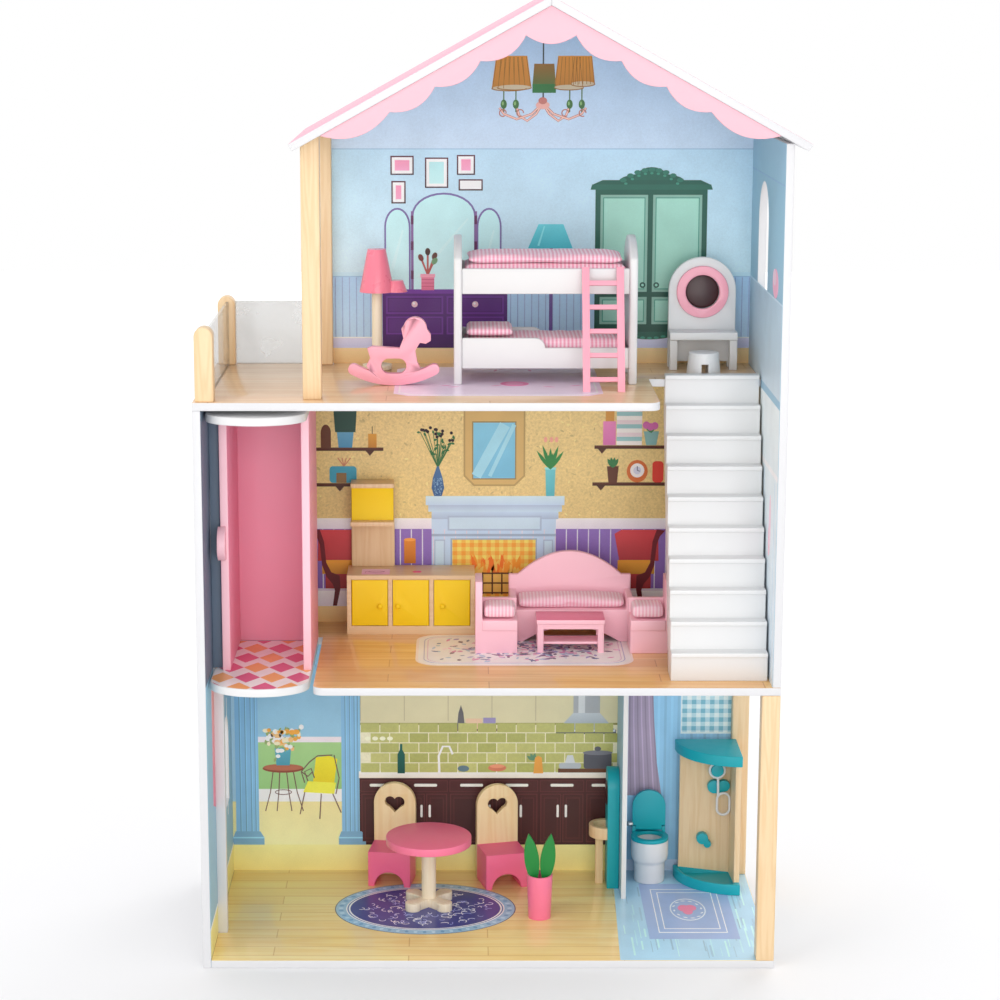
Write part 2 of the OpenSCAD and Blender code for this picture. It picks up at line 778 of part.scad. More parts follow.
module sofa_frame() color("pink") translate([sofa_x, sofa_y, living_z]) {
    t = 8;
    half = sofa_w / 2;
    shoulder = sofa_h - 28;
    rise = sofa_h - shoulder;
    arch_half = half - 11;
    arch = [for (i = [0:20]) let (u = i / 10 - 1) [arch_half * u, shoulder + rise * (1 - u * u)]];
    standing(seat_d - t, seat_d) polygon(concat([
        [-half, 0], [-half, shoulder]], arch, [[half, shoulder], [half, 0],
        [half - 14, 0], [half - 14, 6], [-half + 14, 6], [-half + 14, 0]]));
    board([-half + 8, 8, sofa_seat_h - 8], [half - 8, seat_d - t, sofa_seat_h]);
    hollow = [for (i = [0:16]) let (u = 1 - i / 8) [(half - 16) * u, 18 * (1 - u * u)]];
    standing(4, 8) polygon(concat([
        [-half + 8, 0], [-half + 8, sofa_seat_h], [half - 8, sofa_seat_h], [half - 8, 0]], hollow));
    for (x = [-half, half - 8])
        board([x, 4, 0], [x + 8, seat_d - t, sofa_seat_h + 14]);
}

module sofa_pad() color("mistyrose") translate([sofa_x, sofa_y, living_z])
    board([-sofa_w / 2 + 8 + gap, 6, sofa_seat_h + gap],
        [sofa_w / 2 - 8 - gap, seat_d - 8 - gap, sofa_seat_h + 13]);

// An armchair seen from the front of the house: its back is a board on the outer side
module armchair_frame(x, side) {
    back_t2 = 8;
    y = armchair_y;
    seat_x0 = side < 0 ? x + back_t2 : x;
    back_x0 = side < 0 ? x : x + armchair_w - back_t2;
    board([back_x0, y, living_z], [back_x0 + back_t2, y + armchair_d, living_z + armchair_h]);
    board([seat_x0, y, living_z], [seat_x0 + armchair_w - back_t2, y + armchair_d, living_z + 27]);
    board([seat_x0, y - 1.5, living_z + 27],
        [seat_x0 + armchair_w - back_t2, y + armchair_d, living_z + 39]);
    board([seat_x0, y + armchair_d - 6, living_z + 39],
        [seat_x0 + armchair_w - back_t2, y + armchair_d, living_z + 56]);
}

module armchair_pad(x, side) {
    x0 = (side < 0 ? x + 8 : x) + gap;
    board([x0, armchair_y, living_z + 39 + gap],
        [x0 + armchair_w - 8 - 2 * gap, armchair_y + armchair_d - 6 - gap, living_z + 57]);
}

module armchair_left_frame() color("pink") armchair_frame(armchair_left_x, -1);

module armchair_left_pad() color("mistyrose") armchair_pad(armchair_left_x, -1);

module armchair_right_frame() color("pink") armchair_frame(armchair_right_x, 1);

module armchair_right_pad() color("mistyrose") armchair_pad(armchair_right_x, 1);

module coffee_table() color("hotpink") translate([coffee_at[0], coffee_at[1], living_z]) {
    leg = 7;
    half = coffee_w / 2;
    for (y = [0, coffee_d - 6])
        standing(y, y + 6) difference() {
            translate([-half, 0]) square([coffee_w, coffee_h - 5]);
            translate([-half + leg, -1]) square([coffee_w - 2 * leg, coffee_h - 10]);
        }
    board([-half - 1, -1, coffee_h - 5], [half + 1, coffee_d + 1, coffee_h]);
    board([-half + leg, 6, 9], [half - leg, coffee_d - 6, 12]);
    for (x = [-half, half - leg]) board([x, 6, 6], [x + leg, coffee_d - 6, 12]);
}

// ---- Kitchen and bathroom furniture ----

module round_table() translate([table_at[0], table_at[1], ground_z]) {
    color("hotpink") translate([0, 0, table_h - table_t]) cylinder(r = table_r, h = table_t);
    color("wheat") {
        cylinder(r = 8.5, h = table_h - table_t);
        for (a = [45:90:315]) rotate(a) {
            board([0, -7, 0], [26, 7, 10]);
            translate([26, 0, 0]) cylinder(r = 9, h = 10);
        }
    }
}

// Heart about its middle, made of two circles and a wedge
module heart_plan(w) {
    r = w * 0.27;
    for (side = [-1, 1]) translate([side * (w / 2 - r), r * 0.4]) circle(r);
    polygon([[-w / 2 + r * 0.22, 0], [0, -w * 0.46], [w / 2 - r * 0.22, 0], [0, r * 0.9]]);
}

module chair(turn) {
    seat_drop = 20;
    back_board = 8;
    rotate(turn) {
        color("burlywood") standing(chair_d, chair_d + back_board) difference() {
            arched_plan(chair_w, chair_h);
            translate([0, chair_h - 26]) heart_plan(heart_w);
        }
        color("hotpink") difference() {
            translate([-chair_w / 2, 0, 0]) cube([chair_w, chair_d, chair_seat_h]);
            translate([0, chair_d / 2, 0]) rotate([90, 0, 0])
                cylinder(r = seat_drop - 2, h = chair_d + 2, center = true);
        }
    }
}

module chair_left() translate([chair_left_x, chair_y, ground_z]) chair(-8);

module chair_right() translate([chair_right_x, chair_y - 6, ground_z]) chair(14);

module plant() translate([pot_at[0], pot_at[1], ground_z]) {
    color("hotpink") difference() {
        cylinder(r1 = 13, r2 = pot_r, h = pot_h);
        translate([0, 0, pot_h - 9]) cylinder(r = pot_r - 2.5, h = 10);
    }
    color("green") for (side = [-1, 1])
        translate([side * 5.5, 0, pot_h - 12.5]) rotate([0, side * 7, 0])
            translate([0, 2.5, 0]) rotate([90, 0, 0]) linear_extrude(5) leaf_plan(17, 62);
}

// A blade leaf, pointed by two crossing circles
module leaf_plan(w, h) {
    r = (h * h / 4 + w * w / 4) / w;
    intersection() {
        translate([r - w / 2, h / 2]) circle(r, $fn = 96);
        translate([-r + w / 2, h / 2]) circle(r, $fn = 96);
        translate([-w, 3]) square([2 * w, h]);
    }
}

module wash_stand() translate([wash_at[0], wash_at[1], ground_z]) {
    deep = 46;
    color("darkturquoise") upright(-wash_t, 0) translate([deep / 2, 0]) arched_plan(deep, wash_h);
    color("burlywood") {
        translate([-wash_t, deep / 2, 60]) difference() {
            cylinder(r = 21, h = 14);
            translate([0, -30, -1]) cube([40, 60, 30]);
            translate([-3, 0, 8]) cylinder(r = 13, h = 10);
        }
        board([-wash_t - 13, deep / 2 - 5, 0], [-wash_t - 4, deep / 2 + 5, 60]);
    }
}

// The bowl is a turned pedestal with a wider rounded top
module toilet_bowl() color("white") translate([toilet_at[0], toilet_at[1], ground_z]) {
    r = toilet_w / 2;
    rotate_extrude() polygon([[0, 0], [r - 4, 0], [r - 4, 24], [r - 1, 28], [r, 34],
        [r, toilet_h], [r - 5, toilet_h], [r - 7, 34], [0, 30]]);
}

seat_t = 4;
lid_t = 5;
lid_pin_r = 1.3;
lid_pin_y = toilet_at[1] + toilet_w / 2 - 4;
lid_pin_z = ground_z + toilet_h + seat_t + lid_t / 2 + 1;
lid_w = toilet_w - 5;
ear_half = 2.5;
lid_start = norm([ear_half, ear_half]) + gap;

// Ring seat with two ears that hold the lid's pin
module toilet_seat() color("darkturquoise") {
    r = toilet_w / 2;
    translate([toilet_at[0], toilet_at[1], ground_z + toilet_h]) difference() {
        cylinder(r = r, h = seat_t);
        translate([0, 0, -1]) cylinder(r = r - 7, h = seat_t + 2);
    }
    for (side = [-1, 1]) translate([toilet_at[0] + side * (lid_w / 2 - 2), lid_pin_y, 0])
        board([-2, -ear_half, ground_z + toilet_h], [2, ear_half, lid_pin_z + ear_half]);
    translate([toilet_at[0] - lid_w / 2, lid_pin_y, lid_pin_z]) rotate([0, 90, 0])
        cylinder(r = lid_pin_r, h = lid_w);
}

// The lid stands open; its lower edge is a barrel that turns on the pin between the ears
module toilet_lid() color("darkturquoise") translate([toilet_at[0], lid_pin_y, lid_pin_z])
    difference() {
        union() {
            standing(-lid_t / 2, lid_t / 2) translate([0, lid_start])
                arched_plan(lid_w, toilet_lid_h - lid_start);
            rotate([0, 90, 0]) translate([0, 0, -(lid_w - 8) / 2 + 0.4])
                cylinder(r = lid_t / 2, h = lid_w - 8.8);
            board([-(lid_w - 8) / 2 + 0.4, -lid_t / 2, 0],
                [(lid_w - 8) / 2 - 0.4, lid_t / 2, lid_start + 1]);
        }
        rotate([0, 90, 0]) translate([0, 0, -lid_w]) cylinder(r = lid_pin_r + hinge_play, h = 2 * lid_w);
    }

// Quarter-round slab in the corner, its straight edges along the two panels
module quarter_slab(h) {
    intersection() {
        translate([-shower_w, -shower_w, 0]) cube([shower_w, shower_w, h]);
        cylinder(r = shower_w, h = h);
    }
}

module shower_cubicle() translate([shower_at[0], shower_at[1], ground_z]) {
    panel = shower_panel_t;
    color("darkturquoise") {
        difference() {
            quarter_slab(shower_slab_t);
            translate([-panel, -panel, 5]) intersection() {
                cylinder(r = shower_w - panel - 6, h = shower_slab_t);
                translate([-shower_w, -shower_w, 0]) cube([shower_w, shower_w, shower_slab_t]);
            }
        }
        translate([0, 0, shower_h - shower_slab_t]) quarter_slab(shower_slab_t);
    }
    color("burlywood") {
        board([-shower_w + 6, -panel, shower_slab_t], [0, 0, shower_h - shower_slab_t]);
        board([-panel, -shower_w + 10, shower_slab_t], [0, -panel, shower_h - shower_slab_t]);
    }
}

shower_panel_t = 7;
head_r = 7.5;
head_at = [-24, 138];
loop_at = [-16, 90];
loop_r = 7.5;
loop_rise = 12;
hose_y = -shower_panel_t - 11;

// Shower head on its arm, the hose holder and the tap, all fixed to the back panel
module shower_fittings() color("darkturquoise")
    translate([shower_at[0], shower_at[1], ground_z]) {
        y = -shower_panel_t;
        standing(y - 8, y) translate(head_at) circle(3);
        standing(y - 14, y - 8) translate(head_at) circle(head_r);
        standing(y - 8, y) {
            translate([-27, 116]) circle(8);
            translate([-15, 117]) circle(7);
            translate([-27, 108]) square([12, 15]);
        }
        standing(y - 9, y) {
            translate([-40, 51]) circle(7);
            translate([-34, 44]) circle(4.5);
        }
    }

// One straight stretch of the hose between two places in its plane
module hose_stretch(a, b) {
    l = norm(b - a);
    angle = atan2(b[0] - a[0], b[1] - a[1]);
    translate([a[0], hose_y, a[1]]) rotate([0, angle, 0]) cylinder(d = hose_dia, h = l);
}

// Half a turn of the hose, bulging up or down
module hose_bend(side) {
    translate([loop_at[0], hose_y, loop_at[1] + (side > 0 ? loop_rise : 0)]) rotate([90, 0, 0])
        rotate([0, 0, side > 0 ? 0 : 180]) rotate_extrude(angle = 180) translate([loop_r, 0])
            circle(d = hose_dia);
}

// White hose: a ring round the head, a neck and a long loop below it
module shower_hose() color("white") translate([shower_at[0], shower_at[1], ground_z]) {
    translate([head_at[0], hose_y, head_at[1]]) rotate([90, 0, 0]) rotate_extrude()
        translate([head_r + hose_dia / 2, 0]) circle(d = hose_dia);
    hose_stretch([head_at[0] + 1, head_at[1] - head_r - 1],
        [loop_at[0] - loop_r + 1, loop_at[1] + loop_rise + 4]);
    for (x = [-loop_r, loop_r])
        hose_stretch([loop_at[0] + x, loop_at[1]], [loop_at[0] + x, loop_at[1] + loop_rise]);
    hose_bend(1);
    hose_bend(-1);
}

base_board();
left_wall();
right_wall();
middle_floor();
attic_floor();
kitchen_back_panel();
living_back_panel();
attic_back_panel();
roof_left();
roof_right();
gable_valance();
ground_posts();
attic_posts();
balcony_posts();
balcony_screens();
bath_partition();
stair_stringers();
stair_steps();
lift_rail();
window_trims();
frame_screws();
lift_floor();
lift_roof();
lift_side_walls();
lift_back_wall();
lift_handle();
bunk_ends();
bunk_boards();
bunk_mattress_upper();
bunk_mattress_lower();
bunk_ladder();
lamp_shade();
lamp_stand();
rocking_horse();
vanity_table();
vanity_mirror_ring();
vanity_stool();
sideboard_case();
sideboard_door_left();
sideboard_door_middle();
sideboard_door_right();
hutch();
sofa_frame();
sofa_pad();
armchair_left_frame();
armchair_left_pad();
armchair_right_frame();
armchair_right_pad();
coffee_table();
round_table();
chair_left();
chair_right();
plant();
wash_stand();
toilet_bowl();
toilet_seat();
toilet_lid();
shower_cubicle();
shower_fittings();
shower_hose();
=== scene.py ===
# %% [markdown]
# # A three-storey wooden dollhouse
# The imported model gives every board, post and piece of furniture at its real size. This notebook
# adds what the imported model can't hold: softened wood edges, printed walls, floor prints, fabric
# and light. The first cell loads that fixed frame.

import json
import math
import random

import bmesh
import bpy
from mathutils import Matrix, Vector

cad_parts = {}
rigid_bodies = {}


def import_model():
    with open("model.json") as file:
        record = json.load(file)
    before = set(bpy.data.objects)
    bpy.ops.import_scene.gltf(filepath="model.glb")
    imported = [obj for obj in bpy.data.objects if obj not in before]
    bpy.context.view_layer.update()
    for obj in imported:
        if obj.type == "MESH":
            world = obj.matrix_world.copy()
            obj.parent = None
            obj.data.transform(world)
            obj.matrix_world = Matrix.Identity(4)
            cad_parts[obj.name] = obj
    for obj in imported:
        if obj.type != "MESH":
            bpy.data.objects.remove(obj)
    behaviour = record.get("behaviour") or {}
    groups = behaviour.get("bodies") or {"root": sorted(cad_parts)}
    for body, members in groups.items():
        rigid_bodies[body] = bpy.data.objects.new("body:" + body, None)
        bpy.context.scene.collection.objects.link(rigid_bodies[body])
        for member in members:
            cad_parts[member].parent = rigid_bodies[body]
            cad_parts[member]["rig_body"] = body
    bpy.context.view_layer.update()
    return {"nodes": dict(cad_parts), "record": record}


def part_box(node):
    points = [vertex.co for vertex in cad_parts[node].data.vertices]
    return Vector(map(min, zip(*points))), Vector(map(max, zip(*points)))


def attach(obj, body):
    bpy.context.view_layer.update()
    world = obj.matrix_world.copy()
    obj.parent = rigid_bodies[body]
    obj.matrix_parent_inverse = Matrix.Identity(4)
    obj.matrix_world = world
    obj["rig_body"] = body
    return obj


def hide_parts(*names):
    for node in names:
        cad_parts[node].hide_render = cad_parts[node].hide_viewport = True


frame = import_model()
nodes = frame["nodes"]
MM = 0.001

# %% [markdown]
# ## Where the boards are
# Every later cell places things from the boards themselves. A board's box gives the room heights
# and the inner faces of the walls, so a changed house carries its prints and rugs along.


# %% Read the rooms from the boards
def span(node_name):
    """A node's box in millimetres: lowest and highest corner."""
    low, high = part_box(node_name)
    return low / MM, high / MM


base_low, base_high = span("base_board")
front_y = base_low.y
left_in, right_in = span("left_wall")[1].x, span("right_wall")[0].x
panel_y = span("living_back_panel")[0].y
ground_z = base_high.z
living_z = span("middle_floor")[1].z
attic_z = span("attic_floor")[1].z
attic_left = span("attic_back_panel")[0].x
print("floors at", round(ground_z, 1), round(living_z, 1), round(attic_z, 1))

# %% [markdown]
# ## Camera
# A long lens from a little above the ridge: the verticals stay nearly parallel, every floor shows
# its top, and the roof shows only its front edge.

# %% Place the camera
camera_data = bpy.data.cameras.new("camera")
camera = bpy.data.objects.new("camera", camera_data)
bpy.context.scene.collection.objects.link(camera)
camera.location = (-0.0373, -2.7991, 1.0623)
camera.rotation_euler = (math.radians(90 - 11.345), 0, 0)
camera_data.lens = 90.9
camera_data.shift_x = 0.0451
camera_data.clip_start = 0.1
camera_data.clip_end = 50
bpy.context.scene.camera = camera
print("camera lens:", camera_data.lens, "mm at", tuple(camera.location))

# %% [markdown]
# ## Studio
# The toy stands on one pale floor. A white surround fills the open rooms, a broad key from the
# upper left draws the soft shadows under each floor, and a large soft panel near the camera
# reaches the back walls. The plain colour transform keeps the paints as bright as they are.

# %% Build the stage and the lights
bpy.context.scene.view_settings.view_transform = "Standard"
world = bpy.data.worlds.new("studio")
bpy.context.scene.world = world
world.use_nodes = True
surround = world.node_tree.nodes["Background"]
surround.inputs["Color"].default_value = (1.0, 1.0, 1.0, 1)
surround.inputs["Strength"].default_value = 1.0


def soft_light(name, place, aim, size, energy, tint=(1, 1, 1)):
    """A square area light at one place, turned to look at another, in metres."""
    data = bpy.data.lights.new(name, "AREA")
    data.size = size
    data.energy = energy
    data.color = tint
    lamp = bpy.data.objects.new(name, data)
    lamp.location = place
    lamp.rotation_euler = (Vector(aim) - Vector(place)).to_track_quat("-Z", "Y").to_euler()
    bpy.context.scene.collection.objects.link(lamp)
    return lamp


soft_light("key", (-1.5, -1.9, 2.3), (0, 0, 0.5), 1.1, 8, (1.0, 0.98, 0.95))
soft_light("front_fill", (0.2, -3.2, 0.7), (0, 0, 0.45), 2.2, 30, (1.0, 0.995, 0.985))
soft_light("back_rim", (1.0, 1.6, 2.0), (0, 0, 0.6), 1.2, 10)

stage_mesh = bpy.data.meshes.new("stage_floor")
stage_half = 7.0
stage_mesh.from_pydata([(-stage_half, -stage_half, 0), (stage_half, -stage_half, 0),
                        (stage_half, stage_half, 0), (-stage_half, stage_half, 0)],
                       [], [(0, 1, 2, 3)])
stage_floor = bpy.data.objects.new("stage_floor", stage_mesh)
bpy.context.scene.collection.objects.link(stage_floor)
print("lights:", len(bpy.data.lights))

# %% [markdown]
# ## Shader building blocks
# Every finish on the toy is a Principled shader fed by a few shared effects: wood grain, a sprayed
# paint film, printed paper and woven cloth. Each effect is a node group with named sockets, built
# once, so a wood tone or a stripe width is changed in one place.


# %% Screen colours to shader colours
def linear(red, green, blue):
    """Turns a 0 to 255 screen colour into the linear colour that shaders use."""
    def one(value):
        share = value / 255
        return share / 12.92 if share <= 0.04045 else ((share + 0.055) / 1.055) ** 2.4
    return (one(red), one(green), one(blue), 1.0)


print("toy pink in shader terms:", [round(part, 3) for part in linear(253, 172, 190)])


# %% Place and wire nodes
def feed(tree, node, inputs):
    """Fills a node's inputs. Each is a plain value or another node's output socket."""
    for key, value in inputs.items():
        if isinstance(value, bpy.types.NodeSocket):
            tree.links.new(value, node.inputs[key])
        else:
            node.inputs[key].default_value = value


def place_node(tree, kind, inputs=None, **settings):
    """Adds any node by its full type name."""
    made = tree.nodes.new(kind)
    for key, value in settings.items():
        setattr(made, key, value)
    feed(tree, made, inputs or {})
    return made


def add(tree, kind, inputs=None, **settings):
    """Adds a shader node by the end of its type name."""
    return place_node(tree, "ShaderNode" + kind, inputs, **settings)


def open_group(name, inputs, outputs):
    """A shader node group with its named sockets, its input node and its output node."""
    tree = bpy.data.node_groups.new(name, "ShaderNodeTree")
    for label, kind, value in inputs:
        socket = tree.interface.new_socket(label, in_out="INPUT", socket_type="NodeSocket" + kind)
        if value is not None:
            socket.default_value = value
    for label, kind in outputs:
        tree.interface.new_socket(label, in_out="OUTPUT", socket_type="NodeSocket" + kind)
    return tree, tree.nodes.new("NodeGroupInput").outputs, tree.nodes.new("NodeGroupOutput").inputs


# %% Small sums inside a tree
def stretch(tree, vector, scale):
    """Multiplies a vector by a scale for each axis."""
    return add(tree, "VectorMath", {0: vector, 1: scale}, operation="MULTIPLY").outputs[0]


def maths(tree, operation, first, second=0.0, clamp=False):
    """One maths node."""
    return add(tree, "Math", {0: first, 1: second}, operation=operation, use_clamp=clamp).outputs[0]


def mix(tree, share, first, second, blend="MIX"):
    """Mixes two colours by a share."""
    made = add(tree, "Mix", {"Factor": share}, data_type="RGBA", blend_type=blend)
    feed(tree, made, {6: first, 7: second})
    return made.outputs[2]


def noise(tree, vector, scale, detail=3.0, rough=0.5):
    """Noise between 0 and 1 at a scale in cycles per metre."""
    return add(tree, "TexNoise", {"Vector": vector, "Scale": scale, "Detail": detail,
                                  "Roughness": rough}).outputs["Fac"]


# %% [markdown]
# Wood grain is long thin streaks: noise squeezed across the grain and stretched along it, with a
# slower wave under it for the growth rings. The grain runs along Z here, and a material turns it.

# %% The wood grain group
grain_tree, grain_in, grain_out = open_group(
    "wood_grain",
    [("Vector", "Vector", None), ("Light", "Color", (0.8, 0.6, 0.4, 1)),
     ("Dark", "Color", (0.6, 0.4, 0.2, 1)), ("Ring Scale", "Float", 60.0)],
    [("Color", "Color"), ("Height", "Float")])
along = stretch(grain_tree, grain_in["Vector"], (1, 1, 0.055))
rings = noise(grain_tree, along, grain_in["Ring Scale"], 2)
waves = maths(grain_tree, "SINE", maths(grain_tree, "MULTIPLY", rings, 46.0))
bands = maths(grain_tree, "MULTIPLY_ADD", waves, 0.5)
bands.node.inputs[2].default_value = 0.5
fibres = noise(grain_tree, along, 1400.0, 4, 0.6)
both = maths(grain_tree, "ADD", maths(grain_tree, "MULTIPLY", bands, 0.42),
             maths(grain_tree, "MULTIPLY", fibres, 0.62), clamp=True)
grain_tree.links.new(mix(grain_tree, both, grain_in["Light"], grain_in["Dark"]), grain_out["Color"])
grain_tree.links.new(both, grain_out["Height"])
print("wood grain nodes:", len(grain_tree.nodes))

# %% [markdown]
# Sprayed paint on fibreboard is almost even. What gives it away is a very shallow orange peel and
# patches where the film is a little glossier, so those are all this group adds.

# %% The paint film group
film_tree, film_in, film_out = open_group(
    "paint_film",
    [("Vector", "Vector", None), ("Color", "Color", (1, 1, 1, 1)), ("Gloss", "Float", 0.35)],
    [("Color", "Color"), ("Roughness", "Float"), ("Height", "Float")])
clouds = noise(film_tree, film_in["Vector"], 14.0, 2)
shade_share = maths(film_tree, "MULTIPLY", clouds, 0.10)
darker = mix(film_tree, 1.0, film_in["Color"], (0.80, 0.78, 0.80, 1), "MULTIPLY")
film_tree.links.new(mix(film_tree, shade_share, film_in["Color"], darker), film_out["Color"])
patches = maths(film_tree, "MULTIPLY", noise(film_tree, film_in["Vector"], 90.0, 2), 0.14)
film_tree.links.new(maths(film_tree, "ADD", film_in["Gloss"], patches), film_out["Roughness"])
peel = noise(film_tree, film_in["Vector"], 520.0, 2)
film_tree.links.new(peel, film_out["Height"])
print("paint film nodes:", len(film_tree.nodes))

# %% [markdown]
# The printed papers share a fine dot grain and a faint drift of tone, like ink on coated paper.
# Mottle is how rough the printed picture itself looks: high on the wallpaper, nearly none on a
# plate or a cupboard door.

# %% The printed paper group
paper_tree, paper_in, paper_out = open_group(
    "printed_paper",
    [("Vector", "Vector", None), ("Color", "Color", (1, 1, 1, 1)), ("Mottle", "Float", 0.0)],
    [("Color", "Color"), ("Height", "Float")])
dots = noise(paper_tree, paper_in["Vector"], 1500.0, 1)
drift = noise(paper_tree, paper_in["Vector"], 30.0, 3)
flecks = noise(paper_tree, paper_in["Vector"], 330.0, 4, 0.7)
level = maths(paper_tree, "ADD", maths(paper_tree, "MULTIPLY", dots, 0.16),
              maths(paper_tree, "MULTIPLY", drift, 0.20))
fleck_share = maths(paper_tree, "MULTIPLY", maths(paper_tree, "SUBTRACT", flecks, 0.5),
                    maths(paper_tree, "MULTIPLY", paper_in["Mottle"], 3.2))
total = maths(paper_tree, "ADD", maths(paper_tree, "ADD", level, 0.80), fleck_share)
tone = add(paper_tree, "CombineColor", {"Red": total, "Green": total, "Blue": total}).outputs[0]
paper_tree.links.new(mix(paper_tree, 1.0, paper_in["Color"], tone, "MULTIPLY"), paper_out["Color"])
paper_tree.links.new(flecks, paper_out["Height"])
print("printed paper nodes:", len(paper_tree.nodes))

# %% [markdown]
# The bedding is a small check: pink stripes one way, fainter ones the other way, and a plain weave
# fine enough that it only shows as a soft bump. The stripes follow the piece's place, so two pads
# cut from one cloth line up.

# %% The checked cloth group
cloth_tree, cloth_in, cloth_out = open_group(
    "checked_cloth",
    [("Vector", "Vector", None), ("Ground", "Color", (1, 1, 1, 1)),
     ("Stripe", "Color", (1, 0.5, 0.6, 1)), ("Pitch", "Float", 5.0), ("Cross", "Float", 0.4)],
    [("Color", "Color"), ("Height", "Float")])
parts_xyz = add(cloth_tree, "SeparateXYZ", {0: cloth_in["Vector"]}).outputs
turns = maths(cloth_tree, "DIVIDE", 6283.185, cloth_in["Pitch"])


def stripe_mask(axis, share):
    """Soft-edged stripes along one axis, from 0 to a share."""
    wave = maths(cloth_tree, "SINE", maths(cloth_tree, "MULTIPLY", parts_xyz[axis], turns))
    edge = maths(cloth_tree, "MULTIPLY_ADD", wave, 2.2)
    edge.node.inputs[2].default_value = 0.5
    edge.node.use_clamp = True
    return maths(cloth_tree, "MULTIPLY", edge, share)


across = stripe_mask(0, 0.75)
depth_axis = maths(cloth_tree, "ADD", parts_xyz[1], parts_xyz[2])
lengthwise = maths(cloth_tree, "SINE", maths(cloth_tree, "MULTIPLY", depth_axis, turns))
lengthwise = maths(cloth_tree, "MULTIPLY_ADD", lengthwise, 2.2)
lengthwise.node.inputs[2].default_value = 0.5
lengthwise.node.use_clamp = True
checked = maths(cloth_tree, "ADD", across,
                maths(cloth_tree, "MULTIPLY", lengthwise, cloth_in["Cross"]), clamp=True)
cloth_tree.links.new(mix(cloth_tree, checked, cloth_in["Ground"], cloth_in["Stripe"]),
                     cloth_out["Color"])
threads = [maths(cloth_tree, "SINE", maths(cloth_tree, "MULTIPLY", parts_xyz[axis], 9000.0))
           for axis in range(3)]
weave = maths(cloth_tree, "MULTIPLY", maths(cloth_tree, "ADD", threads[0], threads[1]),
              maths(cloth_tree, "ADD", threads[1], threads[2]))
cloth_tree.links.new(weave, cloth_out["Height"])
print("effect groups:", len(bpy.data.node_groups))

# %% [markdown]
# ## Finishes
# Each finish is one small function. It opens a material, places the effect groups with its own
# values and wires them into a Principled shader. Values that are the same all over, such as the
# coat, are set on the shader itself.


# %% Open a material
def open_material(name, roughness=0.4, coat=0.0, coat_roughness=0.15, specular=0.5):
    """A material, its tree, its Principled shader and its object coordinates."""
    made = bpy.data.materials.new(name)
    made.use_nodes = True
    tree = made.node_tree
    shader = tree.nodes["Principled BSDF"]
    shader.inputs["Roughness"].default_value = roughness
    shader.inputs["Coat Weight"].default_value = coat
    shader.inputs["Coat Roughness"].default_value = coat_roughness
    shader.inputs["Specular IOR Level"].default_value = specular
    place = add(tree, "TexCoord").outputs["Object"]
    return made, tree, shader, place


def use_group(tree, group, inputs):
    """Places an effect group in a material."""
    made = tree.nodes.new("ShaderNodeGroup")
    made.node_tree = group
    feed(tree, made, inputs)
    return made.outputs


def bump(tree, shader, height, strength, distance_mm):
    """Feeds a height into the shader's normal."""
    made = add(tree, "Bump", {"Height": height, "Strength": strength,
                              "Distance": distance_mm * MM})
    tree.links.new(made.outputs[0], shader.inputs["Normal"])


# %% [markdown]
# Most of the toy is painted board, and the rest is clear-coated pine. Paint takes its colour and
# its gloss, pine takes a light and a dark tone and the way its grain runs.


# %% Paint and pine
def painted(name, colour, gloss=0.34, coat=0.15):
    """A sprayed colour on fibreboard or hardwood."""
    made, tree, shader, place = open_material(name, coat=coat)
    film = use_group(tree, film_tree, {"Vector": place, "Color": linear(*colour), "Gloss": gloss})
    tree.links.new(film["Color"], shader.inputs["Base Color"])
    tree.links.new(film["Roughness"], shader.inputs["Roughness"])
    bump(tree, shader, film["Height"], 0.12, 0.12)
    return made


def pine(name, light, dark, turn=(0, 0, 0), ring_scale=60.0, coat=0.2):
    """Clear-coated pine or birch with its grain along Z, turned by an angle for each axis."""
    made, tree, shader, place = open_material(name, roughness=0.42, coat=coat)
    angles = [math.radians(value) for value in turn]
    turned = add(tree, "Mapping", {"Vector": place, "Rotation": angles}).outputs[0]
    grain = use_group(tree, grain_tree, {"Vector": turned, "Light": linear(*light),
                                         "Dark": linear(*dark), "Ring Scale": ring_scale})
    tree.links.new(grain["Color"], shader.inputs["Base Color"])
    bump(tree, shader, grain["Height"], 0.25, 0.15)
    return made


# %% [markdown]
# The three floors are printed plank sheets under gloss lacquer. A brick pattern gives the boards
# and their joints, the grain group darkens them, and a strong smooth coat gives the reflections.


# %% Plank floors
def planks(name, tones, row_mm, plank_mm, streak):
    """A printed plank floor under gloss lacquer. Planks run across the house."""
    made, tree, shader, place = open_material(name, roughness=0.34, coat=0.55,
                                              coat_roughness=0.06, specular=0.5)
    rows = add(tree, "TexBrick", {"Vector": place, "Color1": linear(*tones[0]),
                                  "Color2": linear(*tones[1]), "Mortar": linear(*tones[2]),
                                  "Scale": 1.0, "Mortar Size": 0.0006, "Bias": 0.0,
                                  "Brick Width": plank_mm * MM, "Row Height": row_mm * MM})
    rows.offset = 0.37
    turned = add(tree, "Mapping", {"Vector": place, "Rotation": (0, math.radians(90), 0)})
    grain = use_group(tree, grain_tree, {"Vector": turned.outputs[0], "Light": (1, 1, 1, 1),
                                         "Dark": linear(*streak), "Ring Scale": 28.0})
    tree.links.new(mix(tree, 1.0, rows.outputs["Color"], grain["Color"], "MULTIPLY"),
                   shader.inputs["Base Color"])
    bump(tree, shader, grain["Height"], 0.05, 0.1)
    return made


# %% [markdown]
# Every printed picture shares one paper finish, whose colours are stored on its mesh. The bedding
# is brushed cotton, so it has a little sheen at its edges.


